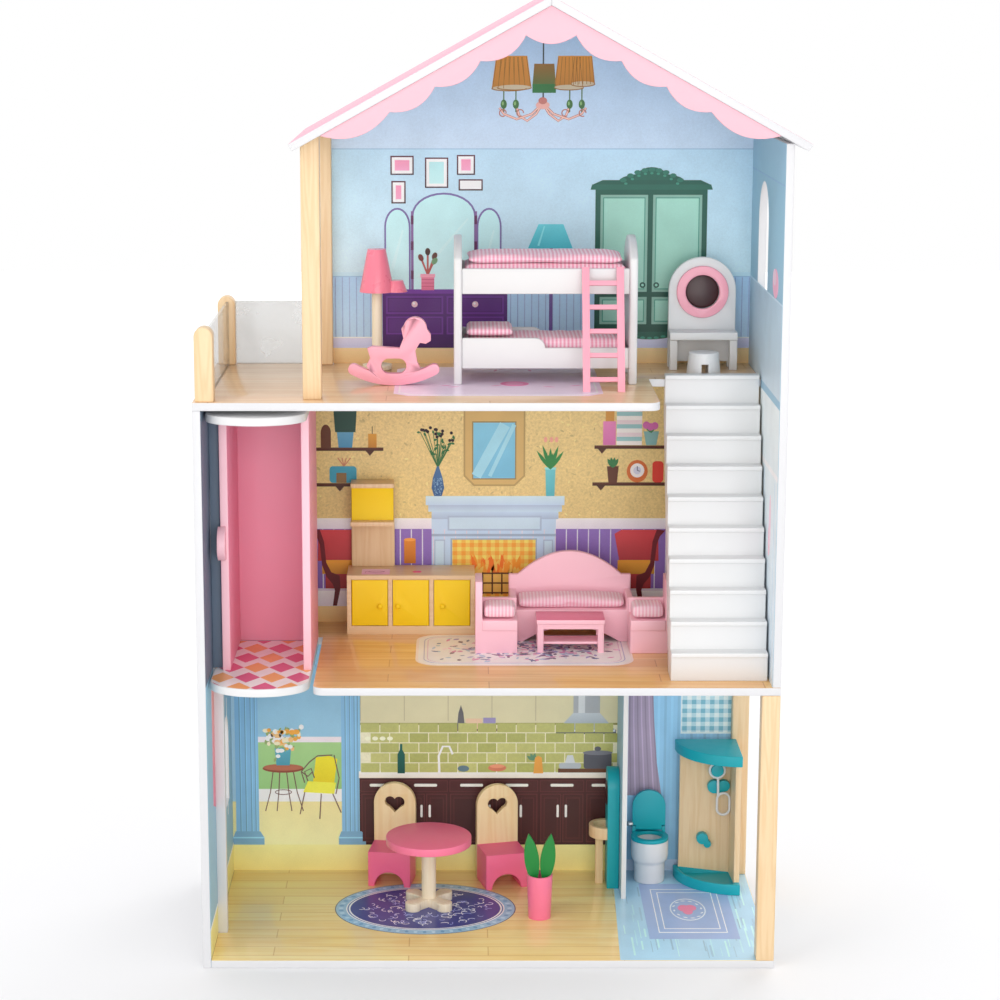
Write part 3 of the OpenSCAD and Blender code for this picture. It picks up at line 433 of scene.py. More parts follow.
# %% Printed paper and cloth
def printed(name, roughness=0.5, coat=0.1):
    """Printed paper: its picture is the ink attribute, whose alpha says how smooth it looks."""
    made, tree, shader, place = open_material(name, roughness=roughness, coat=coat,
                                              specular=0.3)
    ink = add(tree, "Attribute", attribute_name="ink")
    mottle = maths(tree, "SUBTRACT", 1.0, ink.outputs["Alpha"])
    paper = use_group(tree, paper_tree, {"Vector": place, "Color": ink.outputs["Color"],
                                         "Mottle": mottle})
    tree.links.new(paper["Color"], shader.inputs["Base Color"])
    bump(tree, shader, paper["Height"], 0.06, 0.08)
    return made


def cloth(name, ground, stripe, pitch, cross):
    """Brushed cotton with its own fuzz at the edges."""
    made, tree, shader, place = open_material(name, roughness=0.85, specular=0.25)
    shader.inputs["Sheen Weight"].default_value = 0.35
    shader.inputs["Sheen Roughness"].default_value = 0.5
    check = use_group(tree, cloth_tree, {"Vector": place, "Ground": linear(*ground),
                                         "Stripe": linear(*stripe), "Pitch": pitch,
                                         "Cross": cross})
    tree.links.new(check["Color"], shader.inputs["Base Color"])
    bump(tree, shader, check["Height"], 0.15, 0.15)
    return made


# %% [markdown]
# Now the finishes themselves. The pinks of the sofa, the ladder, the lamp shade and the lift don't
# quite match on the toy, so each of them is a paint of its own.

# %% The paints, woods, floors, papers and cloths of this toy
WHITE = (219, 219, 221)
white_board = painted("white_board", WHITE, 0.34, 0.2)
white_gloss = painted("white_gloss", (226, 226, 226), 0.3, 0.2)
pale_pink = painted("valance_pink", (244, 184, 196), 0.4, 0.1)
roof_pink = painted("roof_pink", (246, 176, 200), 0.36, 0.15)
toy_pink = painted("toy_pink", (253, 172, 190), 0.3, 0.25)
sofa_pink = painted("sofa_pink", (255, 198, 212), 0.34, 0.2)
ladder_pink = painted("ladder_pink", (250, 166, 186), 0.3, 0.25)
shade_pink = painted("shade_pink", (250, 130, 154), 0.22, 0.4)
hot_pink = painted("hot_pink", (252, 110, 150), 0.36, 0.12)
rim_pink = painted("rim_pink", (248, 122, 158), 0.3, 0.25)
lift_rose = painted("lift_rose", (250, 166, 190), 0.42, 0.1)
lift_edge = painted("lift_edge_pink", (254, 200, 212), 0.36, 0.15)
door_yellow = painted("door_yellow", (255, 218, 0), 0.5, 0.0)
turquoise = painted("turquoise", (0, 168, 180), 0.36, 0.05)
leaf_green = painted("leaf_green", (2, 132, 50), 0.4, 0.05)
slate_paper = painted("slate_paper", (104, 122, 142), 0.5, 0.1)
blue_paper = painted("blue_paper", (158, 200, 222), 0.5, 0.1)
hardboard = painted("hardboard_back", (236, 234, 230), 0.6, 0.0)
NATURAL = ((240, 213, 172), (226, 190, 142))
pine_upright = pine("pine_upright", *NATURAL)
pine_across = pine("pine_across", *NATURAL, turn=(0, 90, 0))
cream_wood = pine("cream_wood", (248, 236, 212), (238, 220, 186), ring_scale=80.0)
chair_wood = pine("chair_wood", (253, 228, 182), (242, 206, 150), ring_scale=45.0)
ground_planks = planks("ground_planks", ((255, 238, 176), (252, 224, 160), (228, 190, 128)),
                       27.0, 240.0, (244, 228, 200))
living_planks = planks("living_planks", ((255, 216, 148), (243, 196, 132), (216, 164, 110)),
                       31.0, 300.0, (238, 214, 188))
attic_planks = planks("attic_planks", ((252, 226, 192), (242, 208, 168), (216, 178, 138)),
                      34.0, 300.0, (238, 216, 192))
print_paper = printed("print_paper")
floor_print = printed("floor_print", 0.4, 0.35)
bedding = cloth("bedding_check", (254, 222, 232), (242, 150, 180), 4.4, 0.10)
pad_cloth = cloth("seat_stripe", (254, 220, 230), (246, 178, 200), 4.0, 0.05)
print("finishes:", len(bpy.data.materials))

# %% [markdown]
# Zinc screw heads, the clear screens, the dark mirror and the stage need their own recipes: metal
# with fine turning marks, thin clear plastic, and a smooth brown glass.


# %% Metal, clear sheet, mirror glass and stage
def zinc_finish():
    """Zinc-plated steel, brushed very finely."""
    made, tree, shader, place = open_material("zinc", roughness=0.35)
    shader.inputs["Metallic"].default_value = 1.0
    scratches = noise(tree, stretch(tree, place, (1, 1, 12)), 900.0, 2)
    tree.links.new(mix(tree, scratches, linear(176, 178, 182), linear(220, 221, 224)),
                   shader.inputs["Base Color"])
    return made


def clear_finish():
    """Clear acrylic sheet with faint handling marks."""
    made, tree, shader, place = open_material("clear_sheet", roughness=0.06, coat=0.2)
    tint = mix(tree, noise(tree, place, 8.0, 2), linear(198, 200, 196), linear(186, 189, 187))
    tree.links.new(tint, shader.inputs["Base Color"])
    marks = maths(tree, "MULTIPLY", noise(tree, place, 24.0, 3), 0.16)
    tree.links.new(maths(tree, "ADD", marks, 0.34), shader.inputs["Alpha"])
    return made


def mirror_finish(name, colour, roughness):
    """Smooth tinted mirror foil."""
    made, tree, shader, place = open_material(name, roughness=roughness, coat=0.1)
    ripple = noise(tree, place, 60.0, 1)
    tree.links.new(mix(tree, ripple, linear(*colour), linear(*(v * 0.8 for v in colour))),
                   shader.inputs["Base Color"])
    bump(tree, shader, ripple, 0.1, 0.1)
    return made


def stage_finish():
    """A pale, even floor, lit from within far off so that it meets the surround softly."""
    made, tree, shader, place = open_material("stage_pale", roughness=0.7, specular=0.2)
    tree.links.new(mix(tree, noise(tree, place, 2.0, 2), linear(243, 243, 244),
                       linear(240, 240, 242)), shader.inputs["Base Color"])
    away = add(tree, "VectorMath", {0: place}, operation="LENGTH").outputs["Value"]
    shader.inputs["Emission Color"].default_value = (0.95, 0.97, 1.0, 1)
    glow = maths(tree, "MULTIPLY", maths(tree, "SUBTRACT", away, 0.8), 0.068, clamp=True)
    tree.links.new(glow, shader.inputs["Emission Strength"])
    return made


zinc = zinc_finish()
clear_sheet = clear_finish()
dark_mirror = mirror_finish("dark_mirror", (64, 24, 28), 0.35)
stage_mesh.materials.append(stage_finish())
print("finishes with the special ones:", len(bpy.data.materials))

# %% [markdown]
# ## Softened wood
# Sawn toy parts have a small round on every edge, and that round catches the light. The packed
# meshes are loose triangles with knife edges, so each piece is copied, its triangles are joined
# back into whole faces, and its sharp edges get a two-step bevel. A piece of two finishes is cut
# along the joint line first, and a short rule picks the finish for each face.


# %% Place a finished piece
def body_of_node(node_name):
    """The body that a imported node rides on."""
    return nodes[node_name]["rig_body"]


SLOT_OF = {part["node"]: part["material_slot"] for part in frame["record"]["subparts"]}


def place_piece(name, mesh, body, slot_name, replaced=()):
    """Links a finished mesh, names its body and hides what it stands for. slot_name is not used."""
    made = bpy.data.objects.new(name, mesh)
    bpy.context.scene.collection.objects.link(made)
    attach(made, body)
    if replaced:
        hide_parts(*replaced)
    return made


print("nodes with a finish slot:", len(SLOT_OF))


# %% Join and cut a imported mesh
WELD = 0.000002


def joined_copy(node_name, cuts=()):
    """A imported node's mesh with its triangles joined, cut along the given planes."""
    work = bmesh.new()
    work.from_mesh(nodes[node_name].data)
    bmesh.ops.remove_doubles(work, verts=work.verts, dist=WELD)
    for point, normal in cuts:
        everything = work.verts[:] + work.edges[:] + work.faces[:]
        bmesh.ops.bisect_plane(work, geom=everything, dist=0.000001, plane_co=point,
                               plane_no=normal)
    return work


# %% [markdown]
# The bevel's narrow faces are shaded smooth so that an edge looks round. Faces larger than
# FLAT_AREA, in square metres, are shaded flat, because a large flat board would otherwise show
# long streaks of light along its triangles.

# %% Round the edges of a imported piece
FLAT_AREA = 0.00025
SHARP_FROM = math.radians(32)


def soften(node_name, width_mm, finishes, pick=None, cuts=(), segments=2):
    """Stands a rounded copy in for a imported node. pick(centre, normal) gives a finish index."""
    work = joined_copy(node_name, cuts)
    for face in work.faces:
        centre = face.calc_center_median() / MM
        face.material_index = pick(centre, face.normal) if pick else 0
    bmesh.ops.dissolve_limit(work, angle_limit=math.radians(0.6), verts=work.verts,
                             edges=work.edges, delimit={"MATERIAL"})
    bmesh.ops.remove_doubles(work, verts=work.verts, dist=WELD)
    sharp = [edge for edge in work.edges
             if edge.is_manifold and edge.calc_face_angle() > SHARP_FROM]
    bmesh.ops.bevel(work, geom=sharp, offset=width_mm * MM, offset_type="OFFSET",
                    segments=segments, profile=0.6, affect="EDGES", clamp_overlap=True,
                    material=-1)
    mesh = bpy.data.meshes.new(node_name + "_soft")
    for finish in finishes:
        mesh.materials.append(finish)
    for face in work.faces:
        face.smooth = face.calc_area() < FLAT_AREA
    work.to_mesh(mesh)
    work.free()
    mesh.set_sharp_from_angle(angle=math.radians(40))
    return place_piece(node_name + "_soft", mesh, body_of_node(node_name),
                       SLOT_OF[node_name], [node_name])


# %% [markdown]
# The house itself: white-lacquered boards with their prints on one face, natural pine posts, a
# pink roof with white edges. Faces that look up are floors, and the inner faces of the side walls
# carry the wall paper of their storey.


BOARD_ROUND = 0.9


def top_print(floor_finish, top_z):
    """A board that carries a floor on its upper face."""
    def pick(centre, normal):
        return 1 if normal.z > 0.9 and centre.z > top_z - 0.5 else 0
    return [white_board, floor_finish], pick


for node_name, floor_finish, top_z in (("base_board", ground_planks, ground_z),
                                       ("middle_floor", living_planks, living_z),
                                       ("attic_floor", attic_planks, attic_z)):
    finishes, pick = top_print(floor_finish, top_z)
    soften(node_name, BOARD_ROUND, finishes, pick)
print("floor boards done, edges rounded by", BOARD_ROUND, "mm")

# %% [markdown]
# The left wall is papered slate in the middle storey and pale blue below it, so its mesh is cut at
# that floor first. The right wall is blue inside.

# %% Walls
storey_line = living_z * MM
paper_cut = [((0, 0, storey_line), (0, 0, 1))]


def left_wall_pick(centre, normal):
    """Slate paper in the middle storey, pale blue below it, white elsewhere."""
    if normal.x < 0.9 or centre.x < left_in - 0.5:
        return 0
    return 1 if centre.z > living_z else 2


def right_wall_pick(centre, normal):
    """Blue paper on the inner face, white elsewhere."""
    return 1 if normal.x < -0.9 and centre.x < right_in + 0.5 else 0


soften("left_wall", BOARD_ROUND, [white_board, slate_paper, blue_paper], left_wall_pick,
       cuts=paper_cut)
soften("right_wall", BOARD_ROUND, [white_board, blue_paper], right_wall_pick)
print("wall paper changes at", round(storey_line, 4), "m")

# %% [markdown]
# The roof boards are pink on top and white below. The partition is papered on both faces, and the
# posts, the stairs and the rolls have one finish each.

# %% Roof, posts, partition and stairs
for node_name in ("roof_left", "roof_right"):
    soften(node_name, BOARD_ROUND, [white_board, roof_pink],
           lambda centre, normal: 1 if normal.z > 0.5 else 0)
soften("gable_valance", 0.7, [pale_pink])
for node_name in ("ground_posts", "attic_posts", "balcony_posts"):
    soften(node_name, 1.4, [pine_upright])
soften("bath_partition", 0.8, [white_gloss, blue_paper],
       lambda centre, normal: 1 if abs(normal.x) > 0.9 else 0)
for node_name in ("stair_stringers", "stair_steps"):
    soften(node_name, 0.8, [white_gloss])
soften("lift_rail", 0.8, [white_board, slate_paper],
       lambda centre, normal: 1 if centre.z > living_z else 0, cuts=paper_cut)
soften("window_trims", 0.8, [pale_pink])

# %% [markdown]
# The lift is a pink cabin between two white plates. The back panels, the screws and the clear
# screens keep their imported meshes, because a rounded edge would hardly show on them.

# %% Lift, back panels, screws and screens
for node_name in ("lift_floor", "lift_roof"):
    soften(node_name, 1.0, [white_gloss])
wall_front = span("lift_side_walls")[0].y


def lift_pick(centre, normal):
    """The sawn front edges of the lift walls are painted a lighter pink."""
    return 1 if normal.y < -0.9 and centre.y < wall_front + 0.5 else 0


soften("lift_side_walls", 0.9, [lift_rose, lift_edge], lift_pick)
soften("lift_back_wall", 0.5, [lift_rose])
soften("lift_handle", 1.6, [lift_edge], segments=3)
for node_name, finish in (("kitchen_back_panel", hardboard), ("living_back_panel", hardboard),
                          ("attic_back_panel", hardboard), ("frame_screws", zinc),
                          ("balcony_screens", clear_sheet)):
    carried = nodes[node_name]
    carried.data.materials.clear()
    carried.data.materials.append(finish)

# %% [markdown]
# The furniture is small hardwood and board, sprayed in one or two colours, with rounder edges than
# the house. Where a piece has two finishes, the rule uses the piece's own box, so it stays right
# wherever the piece stands.

# %% Plain painted furniture
for node_name, round_mm, finish in (
        ("bunk_ends", 2.2, white_gloss), ("bunk_boards", 1.0, white_gloss),
        ("bunk_ladder", 1.2, ladder_pink), ("rocking_horse", 1.8, toy_pink),
        ("vanity_table", 1.6, white_gloss), ("vanity_mirror_ring", 1.2, toy_pink),
        ("vanity_stool", 1.8, white_gloss), ("sideboard_case", 0.8, pine_across),
        ("sofa_frame", 1.4, sofa_pink), ("armchair_left_frame", 1.2, sofa_pink),
        ("armchair_right_frame", 1.2, sofa_pink), ("lamp_shade", 1.0, shade_pink),
        ("lamp_stand", 1.2, cream_wood), ("toilet_bowl", 1.4, white_gloss),
        ("toilet_seat", 1.0, turquoise), ("toilet_lid", 1.2, turquoise),
        ("shower_fittings", 1.2, turquoise), ("shower_hose", 0.2, white_gloss)):
    soften(node_name, round_mm, [finish])
for side in ("left", "middle", "right"):
    soften("sideboard_door_" + side, 0.6, [door_yellow])

# %% [markdown]
# The round table has a pink top on a cream pedestal, and the coffee table is pink all over, with a
# darker top. The rule looks at the height of a face and at the way it points.

# %% Tables
TABLE_TOP = 9


def in_band(low, high):
    """A rule for faces whose centre lies between two heights."""
    return lambda centre, normal: 1 if low < centre.z < high else 0


top_under = span("round_table")[1].z - TABLE_TOP
coffee_top = span("coffee_table")[1].z


def table_pick(centre, normal):
    """Pink top with a slightly lighter rim, on a cream pedestal."""
    if centre.z < top_under - 0.5 or (centre.z < top_under + 0.5 and normal.z > -0.5):
        return 0
    return 1 if normal.z > 0.9 else 2


soften("round_table", 1.8, [cream_wood, hot_pink, rim_pink], table_pick)
soften("coffee_table", 1.0, [sofa_pink, rim_pink],
       lambda centre, normal: 1 if normal.z > 0.9 and centre.z > coffee_top - 1 else 0)
print("underside of the round top at", round(top_under, 1))

# %% [markdown]
# A chair is a pink block with a pine back board glued behind it. The two chairs stand turned, so
# the joint plane is turned with each chair before the mesh is cut along it.

# %% Chairs
CHAIR_BACK = 8


def chair_finish(node_name, turn):
    """A pine back board behind a pink seat block, on a chair turned about its own upright."""
    spin = Matrix.Rotation(-math.radians(turn), 3, "Z")
    depth = max((spin @ vertex.co).y for vertex in nodes[node_name].data.vertices) / MM
    joint = depth - CHAIR_BACK
    back_normal = spin.inverted() @ Vector((0, 1, 0))
    point = back_normal * joint * MM

    def pick(centre, normal):
        return 0 if (spin @ centre).y > joint - 0.02 and (
            (spin @ centre).y > joint + 0.02 or (spin @ normal).y < -0.9) else 1
    soften(node_name, 1.8, [chair_wood, hot_pink], pick, cuts=[(point, back_normal)])


CHAIR_TURNS = {"chair_left": -8, "chair_right": 14}
for node_name, turn in CHAIR_TURNS.items():
    chair_finish(node_name, turn)
print("chairs turned by", list(CHAIR_TURNS.values()), "degrees")

# %% [markdown]
# The pot plant is two green blades set in a pink turned pot. A face is green if it stands above
# the rim, or if it lies within the bore above the soil.

# %% Pot plant
POT_RIM, POT_SOIL, POT_BORE = 52.2, 43.1, 12
plant_low, plant_high = span("plant")
pot_middle = (plant_low + plant_high) / 2


def plant_pick(centre, normal):
    """Two green leaves standing in a pink pot."""
    out = math.hypot(centre.x - pot_middle.x, centre.y - pot_middle.y)
    high = centre.z - plant_low.z
    return 1 if high > POT_RIM or (out < POT_BORE and high > POT_SOIL) else 0


soften("plant", 1.2, [rim_pink, leaf_green], plant_pick)
print("pot and leaves:", round(plant_high.z - plant_low.z, 1), "mm tall")

# %% [markdown]
# The wash stand, the shower and the hutch join a painted part to a pine one along straight lines,
# so a face's place in the piece's own box tells the two apart.

# %% Wash stand, shower and hutch
WASH_BOARD = 14
SHOWER_PLATE = 13.2
HUTCH_LOWER, HUTCH_UPPER, HUTCH_BACK = 60.2, 5.2, 6.3
wash_low, wash_high = span("wash_stand")
board_face = wash_high.x - WASH_BOARD
soften("wash_stand", 1.2, [turquoise, pine_upright],
       lambda centre, normal: 1 if centre.x < board_face - 0.2 else 0)
shower_low, shower_high = span("shower_cubicle")
soften("shower_cubicle", 1.0, [turquoise, pine_upright],
       in_band(shower_low.z + SHOWER_PLATE, shower_high.z - SHOWER_PLATE))

case_low, case_high = span("sideboard_case")
hutch_low, hutch_high = span("hutch")


def hutch_pick(centre, normal):
    """The cupboard block between the two shelves is yellow."""
    boxed = hutch_low.z + HUTCH_LOWER < centre.z < hutch_high.z - HUTCH_UPPER
    return 1 if boxed and centre.y < hutch_high.y - HUTCH_BACK else 0


soften("hutch", 0.8, [pine_upright, door_yellow], hutch_pick)

# %% [markdown]
# ## Printed pictures
# On the real toy each back panel is one sheet of printed paper. Here a print is built like a paper
# collage: every patch of one ink is a thin closed prism, its level says what it lies on, and
# patches of one level differ by a hair so that no two faces share a plane. The ink is stored on
# the mesh, so one finish serves them all, and the picture holds as plain geometry.

# %% Inks and fences
def tint(colour, gain):
    """A colour lightened or darkened by a factor."""
    return tuple(min(255, value * gain) for value in colour)


def clip(outline, fence):
    """Cuts an outline to a convex fence, given anticlockwise."""
    for a, b in zip(fence, fence[1:] + fence[:1]):
        def inside(p):
            return (b[0] - a[0]) * (p[1] - a[1]) - (b[1] - a[1]) * (p[0] - a[0])
        kept = []
        for p, q in zip(outline, outline[1:] + outline[:1]):
            sp, sq = inside(p), inside(q)
            if sp >= 0:
                kept.append(p)
            if sp * sq < 0:
                share = sp / (sp - sq)
                kept.append((p[0] + (q[0] - p[0]) * share, p[1] + (q[1] - p[1]) * share))
        outline = kept
        if len(outline) < 3:
            return []
    return outline


# %% [markdown]
# The patches come in a few outlines: ovals, rounded panels, arches, brush strokes and leaves. Each
# is a list of (u, v) points in millimetres, so it can be checked by itself before it is inked.


# %% Outlines of patches
def turned_points(u, v, angle, flat):
    """Turns points by an angle in degrees about the origin, and moves them to (u, v)."""
    turn = math.radians(angle)
    return [(u + x * math.cos(turn) - y * math.sin(turn),
             v + x * math.sin(turn) + y * math.cos(turn)) for x, y in flat]


def oval_outline(u, v, half_u, half_v, steps, tilt):
    """A whole ellipse."""
    angles = [2 * math.pi * i / steps for i in range(steps)]
    return turned_points(u, v, tilt, [(half_u * math.cos(a), half_v * math.sin(a))
                                      for a in angles])


def rounded_outline(u0, v0, u1, v1, radius, steps):
    """A rectangle with round corners."""
    points = []
    for cu, cv, start in ((u1 - radius, v1 - radius, 0), (u0 + radius, v1 - radius, 90),
                          (u0 + radius, v0 + radius, 180), (u1 - radius, v0 + radius, 270)):
        for i in range(steps + 1):
            a = math.radians(start + 90 * i / steps)
            points.append((cu + radius * math.cos(a), cv + radius * math.sin(a)))
    return points


def arch_outline(u0, v0, u1, v1, crown, steps):
    """A rectangle whose top is half an ellipse, crown high."""
    middle, half = (u0 + u1) / 2, (u1 - u0) / 2
    top = [(middle + half * math.cos(math.pi * i / steps),
            v1 - crown + crown * math.sin(math.pi * i / steps)) for i in range(steps + 1)]
    return [(u0, v0), (u1, v0)] + top


def stroke_outline(points, width, end_width):
    """A brush line of one width, or tapering to another."""
    last = len(points) - 1
    left, right = [], []
    for i, (u, v) in enumerate(points):
        a, b = points[max(i - 1, 0)], points[min(i + 1, last)]
        du, dv = b[0] - a[0], b[1] - a[1]
        size = math.hypot(du, dv) or 1.0
        share = i / last
        half = (width + ((width if end_width is None else end_width) - width) * share) / 2
        half = max(half, 0.06)
        left.append((u - dv / size * half, v + du / size * half))
        right.append((u + dv / size * half, v - du / size * half))
    return left + right[::-1]


def leaf_outline(u, v, length, width, angle):
    """A pointed leaf from its stalk."""
    flat = []
    for side in (1, -1):
        for i in range(5):
            t = i / 5 if side > 0 else 1 - i / 5
            flat.append((length * t, side * width / 2 * math.sin(math.pi * t)))
    return turned_points(u, v, angle, flat)


print("points on a leaf:", len(leaf_outline(0, 0, 10, 4, 0)))

# %% [markdown]
# The collage takes an outline, an ink and a level. A level is LAYER high, a patch is sunk a little
# under the panel's face, and HAIR is the small step between patches of one level. PRINT_GAIN makes
# up for the light that a sheet loses deep inside a room. All are in millimetres but the gain.

# %% The collage
LAYER = 0.06
HAIR = 0.004
HAIR_TURNS = 14
PRINT_GAIN = 1.2
SUNK = 0.05


class Collage:
    """Inks on one panel. place(u, v, height) gives a point from millimetres on the panel."""

    def __init__(self, place, fence=None):
        self.work = bmesh.new()
        self.ink = self.work.loops.layers.float_color.new("ink")
        self.place = place
        self.fence = fence
        self.count = 0

    def shape(self, outline, colour, level, foot=None, mottle=0.0):
        """One patch. foot is the colour at its lowest edge, where it fades."""
        if self.fence:
            outline = clip(outline, self.fence)
        if len(outline) < 3:
            return
        high = LAYER * (level + 1) + HAIR * (self.count % HAIR_TURNS)
        top = [self.work.verts.new(self.place(u, v, high)) for u, v in outline]
        under = [self.work.verts.new(self.place(u, v, -SUNK)) for u, v in outline]
        count = len(outline)
        faces = [self.work.faces.new(top), self.work.faces.new(under[::-1])]
        faces += [self.work.faces.new((top[i], under[i], under[(i + 1) % count],
                                       top[(i + 1) % count])) for i in range(count)]
        high_v = max(v for u, v in outline)
        tall = max(high_v - min(v for u, v in outline), 0.001)
        colour_top, colour_foot = ([min(part * PRINT_GAIN, 1.0) for part in linear(*ink)]
                                   for ink in (colour, foot or colour))
        shares = {}
        for vertices in (top, under):
            for vertex, (u, v) in zip(vertices, outline):
                shares[vertex] = (high_v - v) / tall
        for face in faces:
            for loop in face.loops:
                share = shares[loop.vert]
                blended = [a + (b - a) * share for a, b in zip(colour_top, colour_foot)]
                loop[self.ink] = blended[:3] + [1.0 - mottle]
        self.count += 1

    def rect(self, u0, v0, u1, v1, colour, level, foot=None, mottle=0.0):
        """An upright rectangle between two corners."""
        self.shape([(u0, v0), (u1, v0), (u1, v1), (u0, v1)], colour, level, foot, mottle)

    def oval(self, u, v, half_u, half_v, colour, level, steps=20, foot=None, tilt=0.0):
        """A whole ellipse, tilted by an angle in degrees."""
        self.shape(oval_outline(u, v, half_u, half_v, steps, tilt), colour, level, foot)

    def rounded(self, u0, v0, u1, v1, radius, colour, level, foot=None, steps=6):
        """A rectangle with round corners."""
        self.shape(rounded_outline(u0, v0, u1, v1, radius, steps), colour, level, foot)

    def arch(self, u0, v0, u1, v1, crown, colour, level, foot=None, steps=14):
        """A rectangle with an arched top."""
        self.shape(arch_outline(u0, v0, u1, v1, crown, steps), colour, level, foot)

    def stroke(self, points, width, colour, level, end_width=None):
        """A brush line."""
        self.shape(stroke_outline(points, width, end_width), colour, level)

    def leaf(self, u, v, length, width, angle, colour, level):
        """A pointed leaf from its stalk, at an angle in degrees."""
        self.shape(leaf_outline(u, v, length, width, angle), colour, level)

    def finish(self, name, finish, slot_name, body="house", replaced=()):
        """Turns the collage into one piece."""
        bmesh.ops.recalc_face_normals(self.work, faces=self.work.faces)
        mesh = bpy.data.meshes.new(name)
        mesh.materials.append(finish)
        self.work.to_mesh(mesh)
        self.work.free()
        print(name, "patches:", self.count)
        return place_piece(name, mesh, body, slot_name, replaced)


# %% Where a collage lies
def wall_place(left, floor):
    """Places u to the right and v up on the face of the back panels."""
    return lambda u, v, h: ((left + u) * MM, (panel_y - h) * MM, (floor + v) * MM)


def floor_place(floor):
    """Places u across and v back from the front edge, on the top of a floor."""
    return lambda u, v, h: (u * MM, (front_y + v) * MM, (floor + h) * MM)


def arc(u, v, half_u, half_v, start, end, steps=10):
    """Points along part of an ellipse, between two angles in degrees."""
    angles = [math.radians(start + (end - start) * i / steps) for i in range(steps + 1)]
    return [(u + half_u * math.cos(a), v + half_v * math.sin(a)) for a in angles]


# %% [markdown]
# ### The bedroom wall
# A pale blue wall with small pictures, a triple mirror over a purple chest, a green wardrobe with
# a carved top and a chandelier. The outline of the sheet is the panel's own, so it follows the
# roof.

# %% Bedroom wall: the sheet and its mouldings
panel_points = {(round(v.co.x / MM - attic_left, 2), round(v.co.z / MM - attic_z, 2))
                for v in nodes["attic_back_panel"].data.vertices}
middle_u = sum(p[0] for p in panel_points) / len(panel_points)
middle_v = sum(p[1] for p in panel_points) / len(panel_points)
gable = sorted(panel_points, key=lambda p: math.atan2(p[1] - middle_v, p[0] - middle_u))
bedroom = Collage(wall_place(attic_left, attic_z), gable)
attic_wide = max(p[0] for p in panel_points)
SKY, SKY_LOW = (184, 216, 236), (198, 226, 244)
bedroom.rect(0, 104, attic_wide, 252, SKY, 0, SKY_LOW, 0.06)
bedroom.rect(0, 250, attic_wide, 460, (158, 190, 222), 1, (196, 216, 240), 0.06)
bedroom.rect(0, 249.4, attic_wide, 250.4, (150, 186, 212), 2)
bedroom.rect(0, 30, attic_wide, 106, (170, 206, 236), 1, (184, 212, 240), 0.04)
bedroom.rect(0, 102.5, attic_wide, 107, (190, 222, 242), 2)
bedroom.rect(0, 101.4, attic_wide, 102.5, (150, 190, 220), 3)
bedroom.rect(0, 18, attic_wide, 31, (214, 214, 240), 2, (196, 200, 232))
bedroom.rect(0, 29.6, attic_wide, 31, (236, 238, 250), 3)
bedroom.rect(0, 0, attic_wide, 18, (240, 210, 160), 2, (232, 196, 140))
print("bedroom sheet:", round(attic_wide, 1), "mm wide, corners:", len(gable))

# %% Bedroom wall: pictures and mirror
FRAME_BROWN = (96, 50, 62)
for u0, v0, u1, v1, picture in ((68, 220, 95, 242, (240, 150, 180)),
                                (69, 187, 85.5, 213, (240, 150, 180)),
                                (108, 205, 135, 240, (180, 226, 228)),
                                (145, 220, 166, 243, (240, 150, 180)),
                                (147, 202, 175, 215, (238, 232, 240))):
    bedroom.rect(u0, v0, u1, v1, FRAME_BROWN, 4, tint(FRAME_BROWN, 0.7))
    bedroom.rect(u0 + 1.6, v0 + 1.6, u1 - 1.6, v1 - 1.6, (250, 244, 246), 5)
    if u1 - u0 < 27.5 and v1 - v0 > 14:
        bedroom.rect(u0 + 5, v0 + 5, u1 - 5, v1 - 5, picture, 6, tint(picture, 1.08))
MIRROR_EDGE, GLASS = (120, 108, 160), (188, 230, 232)
for u0, u1, top, crown in ((60.5, 91, 182, 22), (168, 197, 182, 22), (92.5, 167, 199.5, 26)):
    bedroom.arch(u0, 84, u1, top, crown, MIRROR_EDGE, 7)
    bedroom.arch(u0 + 2, 84, u1 - 2, top - 2.2, crown - 1.5, GLASS, 8, tint(GLASS, 1.06))
    bedroom.stroke([(u0 + 6, 100), (u1 - 9, top - crown - 4)], 5, tint(GLASS, 1.07), 9, 2)
for u in (93, 167):
    bedroom.rect(u - 1.4, 84, u + 1.4, 178, (132, 100, 150), 10)
    for v in (104, 138, 168):
        bedroom.rect(u - 1.6, v - 5, u + 1.6, v + 5, (98, 48, 88), 11)
print("patches with pictures and mirror:", bedroom.count)

# %% Bedroom wall: chest, brushes and lamp
PLUM = (92, 48, 120)
bedroom.rect(58, 18, 204, 84, PLUM, 9, tint(PLUM, 0.75))
bedroom.rect(55, 82, 207, 87, tint(PLUM, 1.25), 10)
for u0, u1 in ((62, 129), (133, 200)):
    for v0, v1 in ((58, 79), (34, 55)):
        bedroom.rect(u0, v0, u1, v1, tint(PLUM, 1.18), 10)
        bedroom.rect(u0 + 2, v0 + 2, u1 - 2, v1 - 2, tint(PLUM, 0.88), 11)
        bedroom.rect(u0 + 3, v0 + 3, u1 - 3, v1 - 3, PLUM, 12)
        bedroom.oval((u0 + u1) / 2, (v0 + v1) / 2 + 1, 3.6, 3.6, (226, 190, 196), 13)
        bedroom.oval((u0 + u1) / 2 - 0.8, (v0 + v1) / 2 + 2, 1.4, 1.4, (250, 232, 232), 14)
bedroom.rect(103.5, 86, 118.5, 104, (226, 132, 158), 13, (214, 110, 140))
bedroom.rect(102.5, 101, 119.5, 105, (240, 160, 180), 14)
for v in (90, 94, 98):
    bedroom.rect(103.5, v, 118.5, v + 0.8, (196, 92, 124), 14)
